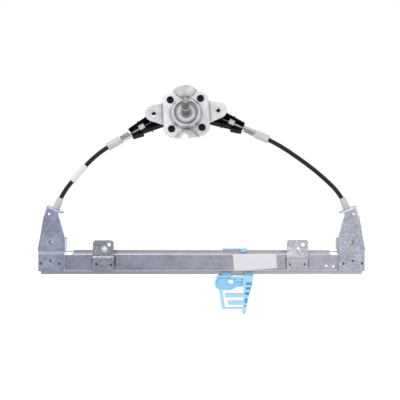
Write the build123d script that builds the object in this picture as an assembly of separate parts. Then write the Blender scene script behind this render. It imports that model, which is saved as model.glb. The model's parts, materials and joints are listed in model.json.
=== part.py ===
from build123d import *
from math import asin, atan2, ceil, cos, hypot, radians, sin, tan
import os

# Cable window regulator, in millimetres.
# +X runs along the rail to the right, +Z is up, and -Y points at the viewer.
# The origin lies midway between the two fixing holes, in the front plane of their tabs.

# Guide rail, a pressed hat section
RAIL_LENGTH = 452.0
RAIL_SHEET = 1.2
RAIL_FRONT = 2.7
RAIL_DEPTH = 10.2
RAIL_TOP = -6.9
RAIL_WIDTH = 24.7
RAIL_LIP = 4.9
RAIL_BEND = 1.0
LIP_SHORT = 44.5
LIP_END_SLANT = 2.4
WEB_TRIM = 1.8
LOCATOR_RADIUS = 1.6
LOCATORS_FROM_END = [(51.6, 16.9), (41.8, 17.7)]

# Clinch buttons, pressed from a bracket through the rail
CLINCH_RADIUS = 2.1
CLINCH_BORE = 1.25
CLINCH_LIP = 0.5
CLINCH_TAIL = 1.0
CLINCH_FLOOR = 0.8
CLINCH_FIT = 0.05
CLINCH_CONE = 1.3

# Mounting tabs and their threaded inserts
TAB_SHEET = 1.5
FIXING_SPACING = 270.0
THREAD_RADIUS = 3.0
INSERT_COLLAR = 4.9
INSERT_COLLAR_PROUD = 0.5
INSERT_FLANGE = 6.2
INSERT_LENGTH = 5.6
INSERT_CHAMFER = 0.5
LOCATOR_HOLE = 2.5
LOCATOR_SHIFT = (6.5, 5.9)
LEFT_TAB = (-16.3, 12.8)
LEFT_TAB_TOP = 12.0
LEFT_TAB_RISE = 0.8
LEFT_TAB_CHAMFER = 3.0
LEFT_TAB_FRONT = -1.2
LEFT_TAB_JOGGLE = (-12.3, -10.1)
LEFT_TAB_CLINCHES = [(-11.0, -21.0), (9.4, -22.1)]
RIGHT_TAB = (-16.1, 13.8)
RIGHT_TAB_TOP = 12.5
RIGHT_TAB_RISE = 1.2
RIGHT_TAB_CORNER = 3.5
RIGHT_TAB_FOOT_CORNER = 1.5
RIGHT_TAB_JOGGLE = (-15.2, -12.8)
RIGHT_TAB_CLINCHES = [(-11.7, -21.7), (8.8, -21.7)]

# End brackets, one mirrored from the other
BRACKET_SHEET = 1.5
BRACKET_BEHIND = 5.8
BRACKET_FOLD = 2.4
BRACKET_RISE = 0.1
JOGGLE_DROP = 0.9
JOGGLE_RISE = 3.1
FLANGE_TOP = 13.3
FLANGE_SLOPE = 2.4
BULGE_OUT = (1.7, -2.2)
SHOULDER_IN = (7.1, 46.2)
PEAK_IN = 11.6
NECK_OUT = [(9.0, 46.2), (4.4, 30.8)]
NECK_TOP_OUT = 9.5
TOP_BLANK = 70.0
TOP_FLANGE_INSETS = (4.9, 10.9)
GAUGE_HOLE_AT = (2.5, 48.6)
GAUGE_HOLE_RADIUS = 1.8
CLINCH_INSETS = (3.6, 0.4, 7.2)
CLINCH_HEIGHTS = (-20.2, -16.7, -20.6)
CABLE_NOTCH = 3.0

# Pulleys and their shouldered rivets
PULLEY_FROM_END = 15.8
PULLEY_RISE = 8.8
PULLEY_INNER_GAP = 3.1
PULLEY_OUTER_GAP = 1.0
PULLEY_PITCH = 13.2
PULLEY_FLANGE = 1.6
PULLEY_WIDTH = 6.0
PULLEY_BORE = 4.0
PULLEY_HUB = 6.6
PULLEY_RIM = 2.2
PULLEY_WEB = 3.0
RIVET_HEAD = 5.0
RIVET_HEAD_HEIGHT = 1.1
RIVET_HEAD_SLOPE = 0.6
RIVET_SHOULDER = 6.2
RIVET_SIDE_GAP = 0.3
RIVET_TAIL = 6.4
RIVET_TAIL_LENGTH = 1.4
RIVET_CUP = 3.7
RIVET_CUP_DEPTH = 5.0
RIVET_CUP_FLOOR = 1.7

# Cables and conduits
CABLE_RADIUS = 0.75
CABLE_GAP = 0.35
CONDUIT_RADIUS = 3.1
CONDUIT_CLEAR = 0.25
CONDUIT_LEAD = {"left": 6.0, "right": 10.0}
CONDUIT_POINTS = {"left": [(-156.0, 4.0, 122.5), (-177.5, 9.5, 99.5)],
                  "right": [(137.0, 5.0, 126.0), (166.0, 9.0, 104.5)]}
FERRULE_LEAD = 6.0
BEND_SHARE = 0.45
CABLE_MEETING_GAP = 0.5

# End ferrules, seated on the top flange of each end bracket
FERRULE_SEAT_AT = (-4.7, 55.4)
FERRULE_LENGTH = 17.0
FERRULE_FOOT = 5.4
FERRULE_FOOT_HEIGHT = 1.2
FERRULE_WALL = 1.2
FERRULE_EDGE = 0.4
FERRULE_SNOUT = 3.0
FERRULE_SNOUT_LENGTH = 3.2
FERRULE_FLOOR = 5.0
FERRULE_FIT = 0.05

# Crank drive: its pad face is the zero of its own depth, and +Z there points out of the door
DRIVE_CENTRE = (-21.3, -4.0, 188.0)
DRIVE_TILT = 12.0
DRIVE_ROLL = 3.0
COVER_CORNER = 8.7
PAD_ROUND = 2.0
PAD_SHEET = 7.0
COVER_HEIGHT = 12.0
CASE_RADIUS = 31.5
HUMP_BALL = 20.9
HUMP_OUT = 7.8
HUMP_DEPTH = -11.4
HUMP_REACH_OUT = 6.5
HUMP_SHEET = 2.2
HUMP_FOOT = 1.0
EAR_OUT = 13.2
EAR_RISE = 4.2
EAR_RADIUS = 12.0
EAR_FRONT = -4.0
EAR_SHEET = 2.5
EAR_ROOT_LOW = -14.0
EAR_ROOT_HIGH = 18.4
EAR_ROOT_IN = 3.8
EAR_STEP = 2.4
RING_FOOT = 23.0
RING_RADIUS = 19.8
RING_HEIGHT = 6.4
RING_CREST = 17.4
RING_EDGE = 0.9
RING_BEVEL = 1.2
NOSE_EDGE = 1.4
DOME_RADIUS = 15.5
DOME_LOW = 3.4
DOME_HIGH = 8.6
BUSH_WALL = 1.75
BUSH_PROUD = 3.4
BUSH_BEVEL = 0.6
BRAKE_BORE = 15.7
BRAKE_BORE_TOP = 0.8
SCREW_RING_GAP = 1.94
SCREW_EDGE = 10.7
SCREW_HEAD = 4.9
SCREW_HEAD_HEIGHT = 2.4
SCREW_SHANK = 2.4
SCREW_LENGTH = 20.0
SCREW_TIP_GAP = 1.0
SCREW_POINT = 1.0
SCREW_BEVEL = 1.2
SCREW_STAR = 1.8
SCREW_STAR_LOBE = 0.7
SCREW_STAR_DEPTH = 1.5
SCREW_FIT = 0.1

# Spindle, brake and drum, at depths measured from the pad face
SPINDLE_RADIUS = 6.3
SPINDLE_JOURNAL = 6.5
SEAT_GAP = 0.4
SPINDLE_SHOULDER = 30.0
SPINDLE_BEVEL = 1.2
SPINDLE_TIP = 55.0
TIP_BEVEL = 0.8
TIP_CONE = 2.0
SPLINE_OUTER = 4.7
SPLINE_INNER = 4.1
SPLINE_TEETH = 24
SPINDLE_CORE = 5.0
SPINDLE_END = 1.2
RUNNING_FIT = 0.05
BRAKE_HUB_GAP = 1.05
BRAKE_BACK_GAP = 0.6
BRAKE_TOP_GAP = 1.4
BRAKE_WIRE = 2.0
BRAKE_TURNS = 3
BRAKE_PITCH = 2.9
DRUM_PITCH_RADIUS = 20.0
DRUM_FLANGE = 1.8
DRUM_WIDTH = 10.0
DRUM_GAP = 1.0
DRUM_SIDE_GAP = 1.6
DRUM_GROOVE_STEP = 2.9
RING_GROOVE_DEPTH = 0.5
RING_CLIP_RADIUS = 8.0
RING_CLIP_THICKNESS = 1.0
RING_CLIP_MOUTH = 3.6
RING_CLIP_GAP = 0.4

# Drum housing with its two channel arms
HOUSING_WALL = 2.6
HOUSING_FLOOR = 2.0
HOUSING_FLANGE = 30.5
HOUSING_FLANGE_SHEET = 2.0
BOSS_WALL = 2.2
HOUSING_CLEAR = 0.1
ARM_ANGLE = 28.2
ARM_END = 79.0
ARM_GAP = 1.3
ARM_END_UP = 5.8
ARM_END_DOWN = -6.8
ARM_ROOT = 12.0
ARM_ROOT_UP = 12.0
ARM_ROOT_DOWN = -17.0
ARM_STEP = 62.5
ARM_STEP_RUN = 1.5
ARM_STEP_IN = -7.2
ARM_STEP_OUT = -10.6
ARM_WALL = 1.8
ARM_RIBS = 5
ARM_RIB_SIZE = 0.7
ARM_RIB_HALF = 0.6
ARM_RIB_PITCH = 4.6
ARM_RIB_START = 3.0
ARM_NUBS = [(62.0, 7.9), (50.0, -10.1)]
ARM_NUB_HALF = 0.9
ARM_RIB_DROP = 1.5
GUIDE_WALL = 1.4
GUIDE_LEAD = 9.0
GUIDE_DROP = 2.0
THROAT_END = 40.0

# Tensioners: head, stem and sleeve in one moulding, with a spring round the stem
HEAD_START = 57.0
HEAD_SIZE = (8.0, 7.8, 7.0)
HEAD_SIDE_GAP = 0.3
STEM_RADIUS = 1.5
STEM_FIT = 0.1
SLEEVE_WALL = 2.35
SLEEVE_LENGTH = 21.0
SLEEVE_FLOOR = 6.0
SLEEVE_FIT = 0.3
SLEEVE_EDGE = 0.4
SLEEVE_BEVEL = 0.6
SLEEVE_MOUTH = 0.8
TENSION_TRAVEL = 4.0
SPRING_LENGTH = {"left": 14.6, "right": 16.6}
SPRING_RADIUS = 5.1
SPRING_WIRE = 1.2
SPRING_PITCH = 2.4
SPRING_GAP = 0.3
SPRING_WASHER = 1.0
SPRING_WASHER_RADIUS = 5.7
BODY_GAP = 0.35

# Slider, behind the rail and hooked on its lips
SLIDER_PLACE = 46.5
SLIDER_LENGTH = 34.2
SLIDER_GAP = 0.3
SLIDER_HOOK = 1.5
SLIDER_DEPTH = 7.0
SLIDER_SHEET = 2.0
SLIDER_JAW = 1.6
GUIDE_HALF = 6.0
PLATE_OVERLAP = 4.0
PLATE_WIDER = 5.0
FINGER_HANG = 3.5
CLIP_DROP = 2.0
CLIP_JAW = 3.1
CLIP_SPANS = [(-18.8, -4.2), (13.4, 26.3)]
FINGER_SPAN = (8.5, 17.8)
LEAF_FRONT = 7.6
LEAF_SHEET = 2.2
GLASS_SLOT = 5.2
NIPPLE_RADIUS = 2.2
NIPPLE_WALL = 0.9
NIPPLE_LENGTH = 7.0
NIPPLE_INSET = 4.2
NIPPLE_FIT = 0.1
CHANNEL_GAP = 0.95
WEB_SETBACK = 1.0
PIT_RADIUS = 1.0
PIT_DEPTH = 1.6
BRIDGE_SETBACK = 0.8

# The slider's hanging part, in plan: x from the slider's middle, z from the rail's bottom lip
LEG = [(-22.3, -21.0), (-16.3, -21.0), (-12.9, -48.8), (-18.0, -48.8)]
UPPER_FINGER = [(-13.7, -26.8), (14.5, -26.8), (14.5, -32.4), (-13.7, -32.4)]
LOWER_FINGER = [(-10.3, -37.3), (14.5, -37.3), (14.5, -42.9), (-8.9, -42.9)]
FOOT = (-14.5, 14.5, -48.5, -46.2)
LEG_ROUND = 0.5
FINGER_ROUND = 0.6
COLUMN = [(13.4, -1.2), (26.7, -1.2), (23.9, -19.2), (19.9, -31.6), (17.5, -44.2),
          (15.3, -54.7), (11.0, -57.4), (10.7, -51.9), (11.9, -48.0), (12.6, -19.2)]
COLUMN_ROUNDS = [0, 1.0, 6.0, 6.0, 6.0, 1.5, 1.0, 2.0, 4.0, 0]
COLUMN_POCKETS = [(15.8, 24.1, -14.7, -10.8), (15.8, 22.2, -21.1, -17.6), (14.4, 20.1, -28.8, -24.7),
                  (14.1, 17.9, -40.2, -33.4), (13.9, 15.8, -45.4, -43.0)]
LOBE = [(-22.5, -1.2), (-3.7, -1.2), (-3.7, -3.4), (14.0, -3.4), (14.0, -17.9), (3.8, -17.9),
        (-5.1, -22.6), (-21.7, -22.6), (-27.3, -17.6), (-28.3, -9.5), (-24.9, -2.4)]
LOBE_ROUNDS = [0, 0, 0, 0, 0, 4.0, 4.0, 2.5, 3.0, 5.0, 1.0]
LOBE_WINDOW = (-5.1, -10.3)
LOBE_WINDOW_SIZE = (7.2, 4.4)
LOBE_WINDOW_TURN = -25.0
LOBE_COLLAR = 1.4
LOBE_PITS = [(0.5, -7.1), (10.2, -7.1), (-10.2, -14.4)]
BRIDGE = (-3.5, 13.7, -9.4, -3.4)

# Values that follow from the ones above
RAIL_REAR = RAIL_FRONT + RAIL_DEPTH
RAIL_BOTTOM = RAIL_TOP - RAIL_WIDTH
RAIL_HALF = RAIL_LENGTH / 2
LIP_REACH = RAIL_HALF - LIP_SHORT
LOCATOR_PLACES = [(RAIL_HALF - inset, RAIL_TOP - drop) for inset, drop in LOCATORS_FROM_END]
LEFT_TAB_FOOT = RAIL_BOTTOM + LEFT_TAB_RISE
RIGHT_TAB_FOOT = RAIL_BOTTOM + RIGHT_TAB_RISE
CABLE_Y = RAIL_REAR + SLIDER_GAP + NIPPLE_WALL + NIPPLE_FIT + NIPPLE_RADIUS
CABLE_Z = PULLEY_RISE - PULLEY_PITCH
CABLE_HOLE = CABLE_RADIUS + CABLE_GAP
CONDUIT_BORE = CABLE_RADIUS + CONDUIT_CLEAR
PULLEY_X = RAIL_HALF - PULLEY_FROM_END
PULLEY_CENTRE = (PULLEY_X, PULLEY_RISE)
PULLEY_RADIUS = PULLEY_PITCH + PULLEY_FLANGE
BRACKET_INNER = PULLEY_X - PULLEY_RADIUS - PULLEY_INNER_GAP - BRACKET_SHEET
BRACKET_OUTER = PULLEY_X + PULLEY_RADIUS + PULLEY_OUTER_GAP + BRACKET_SHEET
BRACKET_FOOT = RAIL_BOTTOM + BRACKET_RISE
BRACKET_DEPTH = CABLE_Y + BRACKET_BEHIND
JOGGLE_LOW = RAIL_TOP - JOGGLE_DROP
JOGGLE_HIGH = RAIL_TOP + JOGGLE_RISE
BULGE = (BRACKET_OUTER + BULGE_OUT[0], BULGE_OUT[1])
SHOULDER = (BRACKET_OUTER - SHOULDER_IN[0], SHOULDER_IN[1])
PEAK = BRACKET_OUTER - PEAK_IN
NECK = [(BRACKET_INNER + out, height) for out, height in NECK_OUT]
NECK_TOP = BRACKET_INNER + NECK_TOP_OUT
TOP_FLANGE_INNER = BRACKET_INNER + TOP_FLANGE_INSETS[0]
TOP_FLANGE_OUTER = BRACKET_OUTER - TOP_FLANGE_INSETS[1]
GAUGE_HOLE = (PULLEY_X + GAUGE_HOLE_AT[0], GAUGE_HOLE_AT[1])
FERRULE_SEAT = (PULLEY_X + FERRULE_SEAT_AT[0], FERRULE_SEAT_AT[1])
CLINCH_PLACES = (BRACKET_OUTER - CLINCH_INSETS[0], PULLEY_X + CLINCH_INSETS[1],
                 BRACKET_INNER + CLINCH_INSETS[2])
BRACKET_CLINCHES = list(zip(CLINCH_PLACES, CLINCH_HEIGHTS))
FERRULE_TOP = CONDUIT_RADIUS + FERRULE_FIT + FERRULE_WALL
LIP_FRONT = RAIL_REAR - RAIL_SHEET
TOP_LIP_EDGE = RAIL_TOP + RAIL_LIP
BOTTOM_LIP_EDGE = RAIL_BOTTOM - RAIL_LIP
WEB_REAR = RAIL_FRONT + RAIL_SHEET
SLIDER_LEFT = SLIDER_PLACE - SLIDER_LENGTH / 2
SLIDER_RIGHT = SLIDER_PLACE + SLIDER_LENGTH / 2
SLIDER_CREST = TOP_LIP_EDGE + SLIDER_GAP + SLIDER_HOOK
SLIDER_BACK = RAIL_REAR + SLIDER_GAP + SLIDER_DEPTH
SCREW_HALF_SPACING = (RING_FOOT + SCREW_HEAD + SCREW_RING_GAP) / 2 ** 0.5
COVER_HALF = SCREW_HALF_SPACING + SCREW_EDGE
HUMP_CENTRE = COVER_HALF + HUMP_OUT
HUMP_REACH = COVER_HALF + HUMP_REACH_OUT
EAR_ROOT = COVER_HALF - EAR_ROOT_IN
EAR_HALF_SPACING = COVER_HALF + EAR_OUT
BUSH_TOP = DOME_HIGH + BUSH_PROUD
BUSH_RADIUS = SPINDLE_JOURNAL + RUNNING_FIT + BUSH_WALL
SEAT_LOW = BUSH_TOP + SEAT_GAP
SEAT_HIGH = SPINDLE_SHOULDER - SPINDLE_BEVEL
BRAKE_HUB = BRAKE_BORE - RUNNING_FIT - BRAKE_WIRE - BRAKE_HUB_GAP
BRAKE_HUB_BACK = BRAKE_BACK_GAP - COVER_HEIGHT
BRAKE_HUB_TOP = BRAKE_BORE_TOP - BRAKE_TOP_GAP
DRUM_RADIUS = DRUM_PITCH_RADIUS + DRUM_FLANGE
DRUM_FRONT = -COVER_HEIGHT - DRUM_GAP
DRUM_BACK = DRUM_FRONT - DRUM_WIDTH
CABLE_DEPTH = DRUM_FRONT - DRUM_WIDTH / 2
HOUSING_BACK = DRUM_BACK - DRUM_GAP - HOUSING_FLOOR
WELL_RADIUS = DRUM_RADIUS + DRUM_SIDE_GAP
HOUSING_RADIUS = WELL_RADIUS + HOUSING_WALL
BOSS_RADIUS = SCREW_SHANK + BOSS_WALL
BOSS_BACK = -SCREW_LENGTH - SCREW_TIP_GAP - HOUSING_FLOOR
ARM_TOP = EAR_FRONT + INSERT_COLLAR_PROUD - INSERT_LENGTH - ARM_GAP
GUIDE_GAP = HEAD_SIZE[1] / 2 + HEAD_SIDE_GAP
GUIDE_START = HEAD_START - TENSION_TRAVEL - GUIDE_LEAD
SLEEVE_BORE = CONDUIT_RADIUS + SLEEVE_FIT
SLEEVE_RADIUS = SLEEVE_BORE + SLEEVE_WALL


def drive_plane():
    """Plane of the pad face, tilted to face slightly up and rolled about its own axis."""
    outward = Vector(0, -cos(radians(DRIVE_TILT)), sin(radians(DRIVE_TILT)))
    upward = outward.cross(Vector(1, 0, 0))
    rightward = Vector(1, 0, 0) * cos(radians(DRIVE_ROLL)) + upward * sin(radians(DRIVE_ROLL))
    return Plane(origin=DRIVE_CENTRE, x_dir=rightward, z_dir=outward)


def arm_plane():
    """Frame of the right arm in the drive's frame: +X along its cable, +Z out of the door."""
    slope = radians(ARM_ANGLE)
    start = (DRUM_PITCH_RADIUS * sin(slope), DRUM_PITCH_RADIUS * cos(slope), CABLE_DEPTH)
    return Plane(origin=start, x_dir=(cos(slope), -sin(slope), 0), z_dir=(0, 0, 1))


def on_drive(piece):
    """Place a piece built in the drive's frame."""
    return drive_plane().location * piece


def on_arm(piece, side):
    """Place a piece built in the right arm's frame on the arm of the named side."""
    placed = arm_plane().location * piece
    return on_drive(placed if side == "right" else mirror(placed, about=Plane.YZ))


def arm_point(side, along):
    """World point on an arm's cable line, at a distance from the drum's tangent point."""
    point = arm_plane().from_local_coords((along, 0, 0))
    if side == "left":
        point = Vector(-point.X, point.Y, point.Z)
    return drive_plane().from_local_coords(point)


def ferrule_tilt():
    """Angle from vertical of the cable line that leaves the pulley for the ferrule."""
    across = PULLEY_CENTRE[0] - FERRULE_SEAT[0]
    rise = FERRULE_SEAT[1] - PULLEY_CENTRE[1]
    return atan2(across, rise) + asin(PULLEY_PITCH / hypot(across, rise))


def rounded(points, radii=0.0):
    """Closed face through the points, each corner rounded to its own radius."""
    if isinstance(radii, float):
        radii = [radii] * len(points)
    return make_face(FilletPolyline(*points, radius=radii, close=True).edges())


def block_face(left, right, low, high):
    """Rectangle between two x values and two z values."""
    return Pos((left + right) / 2, (low + high) / 2) * Rectangle(right - left, high - low)


def slab(face, front, depth):
    """Extrude an X-Z outline backwards from the plane y = front."""
    return Pos(0, front, 0) * extrude(Plane.XZ * face, depth, dir=(0, 1, 0))


def rod_y(place, front, depth, radius):
    """Cylinder along Y at an (x, z) place."""
    return Pos(place[0], front + depth / 2, place[1]) * Rot(90, 0, 0) * Cylinder(radius, depth)


def turned(profile):
    """Revolve an (r, h) outline about the Z axis."""
    return revolve(Plane.XZ * make_face(Polyline(*profile, close=True).edges()), axis=Axis.Z)


def turned_y(profile, place):
    """Revolve an (r, y) outline about the Y axis through an (x, z) place."""
    face = make_face(Polyline(*profile, close=True).edges())
    return Pos(place[0], 0, place[1]) * revolve(face, axis=Axis.Y)


def block(low, high):
    """Box between two corners."""
    size = [b - a for a, b in zip(low, high)]
    centre = [(a + b) / 2 for a, b in zip(low, high)]
    return Pos(*centre) * Box(*size)


def tube(path, outer, inner=0.0):
    """Round tube or rod swept along a path of lines and tangent arcs."""
    start = Plane(origin=path @ 0, z_dir=path % 0)
    rod = sweep(start * Circle(outer), path=path)
    if inner:
        rod -= sweep(start * Circle(inner), path=path)
    return rod


def bend(sheet, start, end, front, radius, thickness):
    """Round the fold between a face at y = front and the wall behind the edge from start to end.

    Seen from the front, the metal lies on the right of the edge.
    """
    ahead = Vector(end[0] - start[0], 0, end[1] - start[1])
    inward = Vector(0, 1, 0).cross(ahead)
    fold = Plane(origin=(start[0], front, start[1]), x_dir=inward, z_dir=ahead)
    corner = Pos((radius - 1) / 2, (radius - 1) / 2) * Rectangle(radius + 1, radius + 1)
    corner -= Pos(radius, radius) * Circle(radius)
    hollow = radius - thickness
    middle = thickness + hollow / 2
    filling = Pos(middle, middle) * Rectangle(hollow, hollow)
    filling -= Pos(radius, radius) * Circle(hollow)
    sheet += fold.location * extrude(filling, ahead.length)
    return sheet - fold.location * extrude(corner, ahead.length)


def clinch(place, plate_front, plate_rear):
    """Button pressed from a bracket through the rail: its metal and the hollow in its front."""
    rear = WEB_REAR + CLINCH_TAIL
    wide = CLINCH_RADIUS + CLINCH_LIP
    waist = [(CLINCH_RADIUS, RAIL_FRONT), (CLINCH_RADIUS, WEB_REAR), (wide, WEB_REAR), (wide, rear)]
    if RAIL_FRONT - plate_rear > CLINCH_LIP:
        waist.insert(0, (CLINCH_RADIUS + CLINCH_CONE, plate_rear))
    metal = turned_y([(0, plate_front)] + [(waist[0][0], plate_front)] + waist + [(0, rear)], place)
    floor = rear - CLINCH_FLOOR
    mouth = CLINCH_BORE + CLINCH_LIP
    hollow = turned_y([(0, plate_front - 1), (mouth, plate_front - 1), (mouth, plate_front),
                       (CLINCH_BORE, plate_rear), (CLINCH_BORE, floor), (0, floor)], place)
    return metal, hollow


def add_clinches(plate, places, front, rear):
    """Press a clinch button through a plate at each place."""
    for place in places:
        metal, hollow = clinch(place, front, rear)
        plate = plate + metal - hollow
    return plate


def guide_rail():
    """Hat section open at the back, with its upper wall cut short at both ends."""
    inner, outer = RAIL_BEND, RAIL_BEND + RAIL_SHEET
    section = rounded(
        [(LIP_FRONT, TOP_LIP_EDGE), (LIP_FRONT, RAIL_TOP), (RAIL_FRONT, RAIL_TOP),
         (RAIL_FRONT, RAIL_BOTTOM), (LIP_FRONT, RAIL_BOTTOM), (LIP_FRONT, BOTTOM_LIP_EDGE),
         (RAIL_REAR, BOTTOM_LIP_EDGE), (RAIL_REAR, RAIL_BOTTOM + RAIL_SHEET),
         (WEB_REAR, RAIL_BOTTOM + RAIL_SHEET), (WEB_REAR, RAIL_TOP - RAIL_SHEET),
         (RAIL_REAR, RAIL_TOP - RAIL_SHEET), (RAIL_REAR, TOP_LIP_EDGE)],
        [0, inner, outer, outer, inner, 0, 0, outer, inner, inner, outer, 0])
    rail = Pos(-RAIL_HALF, 0, 0) * extrude(Plane.YZ * section, RAIL_LENGTH, dir=(1, 0, 0))
    web_top = RAIL_TOP - WEB_TRIM
    beyond = RAIL_HALF + 1
    trim = slab(rounded([(LIP_REACH, web_top), (LIP_REACH - LIP_END_SLANT, TOP_LIP_EDGE + 1),
                         (beyond, TOP_LIP_EDGE + 1), (beyond, web_top)]),
                RAIL_FRONT - 1, RAIL_DEPTH + 2)
    rail = rail - trim - mirror(trim, about=Plane.YZ)
    hole = CLINCH_RADIUS + CLINCH_FIT
    for x, z in BRACKET_CLINCHES:
        for place in [(-x, z), (x, z)]:
            rail -= rod_y(place, RAIL_FRONT - 1, RAIL_SHEET + 2, hole)
    for side in ("left", "right"):
        for place in tab_clinches(side):
            rail -= rod_y(place, RAIL_FRONT - 1, RAIL_SHEET + 2, hole)
    for place in LOCATOR_PLACES:
        rail -= rod_y(place, RAIL_FRONT - 1, RAIL_SHEET + 2, LOCATOR_RADIUS)
    return rail


def joggled_sheet(low, high, fronts, steps, sheet, left, right):
    """Sheet between two heights whose face steps from one depth to another between two heights."""
    lower, upper = fronts
    start, end = steps
    front = [(lower, low), (lower, start), (upper, end), (upper, high)]
    rear = [(y + sheet, z) for y, z in reversed(front)]
    face = rounded(front + rear, [0, sheet, sheet, 0, 0, sheet, sheet, 0])
    return Pos(left, 0, 0) * extrude(Plane.YZ * face, right - left, dir=(1, 0, 0))


def tab_centre(side):
    """Place of a mounting tab's fixing hole along the rail."""
    return FIXING_SPACING / 2 * (1 if side == "right" else -1)


def tab_clinches(side):
    """Places where a mounting tab is clinched to the rail."""
    places = LEFT_TAB_CLINCHES if side == "left" else RIGHT_TAB_CLINCHES
    return [(tab_centre(side) + x, z) for x, z in places]


def mounting_bracket(side):
    """Tab that fastens the rail to the door, with its insert hole and a locating hole."""
    centre = tab_centre(side)
    if side == "left":
        left, right = (centre + x for x in LEFT_TAB)
        top, foot = LEFT_TAB_TOP, LEFT_TAB_FOOT
        front, joggle = LEFT_TAB_FRONT, LEFT_TAB_JOGGLE
        cut = LEFT_TAB_CHAMFER
        corners = rounded([(left, foot), (right, foot), (right, top - cut), (right - cut, top),
                           (left + cut, top), (left, top - cut)])
    else:
        left, right = (centre + x for x in RIGHT_TAB)
        top, foot = RIGHT_TAB_TOP, RIGHT_TAB_FOOT
        front, joggle = RAIL_FRONT - TAB_SHEET, RIGHT_TAB_JOGGLE
        corners = rounded([(left, foot), (right, foot), (right, top), (left, top)],
                          [RIGHT_TAB_FOOT_CORNER, RIGHT_TAB_FOOT_CORNER, RIGHT_TAB_CORNER, RIGHT_TAB_CORNER])
    plate = joggled_sheet(foot - 1, top + 1, (front, 0.0), joggle, TAB_SHEET, left - 1, right + 1)
    plate &= slab(corners, min(front, 0.0) - 1, RAIL_FRONT + 2)
    plate -= rod_y((centre, 0), -1, TAB_SHEET + 2, INSERT_COLLAR)
    plate -= rod_y((centre + LOCATOR_SHIFT[0], LOCATOR_SHIFT[1]), -1, TAB_SHEET + 2, LOCATOR_HOLE)
    return add_clinches(plate, tab_clinches(side), front, front + TAB_SHEET)


def threaded_insert(sheet, collar_proud):
    """Clinch insert about the Z axis: collar through a sheet whose front is at zero, flange behind."""
    back = collar_proud - INSERT_LENGTH
    thread = THREAD_RADIUS
    flare = thread + INSERT_CHAMFER
    return turned([(thread, back), (INSERT_FLANGE, back), (INSERT_FLANGE, -sheet),
                   (INSERT_COLLAR, -sheet), (INSERT_COLLAR, collar_proud - INSERT_CHAMFER),
                   (INSERT_COLLAR - INSERT_CHAMFER, collar_proud), (flare, collar_proud),
                   (thread, collar_proud - INSERT_CHAMFER)])


def tab_insert(side):
    """Threaded insert of a mounting tab, facing the viewer."""
    return Pos(tab_centre(side), 0, 0) * Rot(90, 0, 0) * threaded_insert(TAB_SHEET, INSERT_COLLAR_PROUD)


def seat_line(x, drop=0.0):
    """Height of the top flange's upper face at x, less a drop square to the face."""
    tilt = ferrule_tilt()
    return FERRULE_SEAT[1] + (x - FERRULE_SEAT[0]) * tan(tilt) - drop / cos(tilt)


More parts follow.
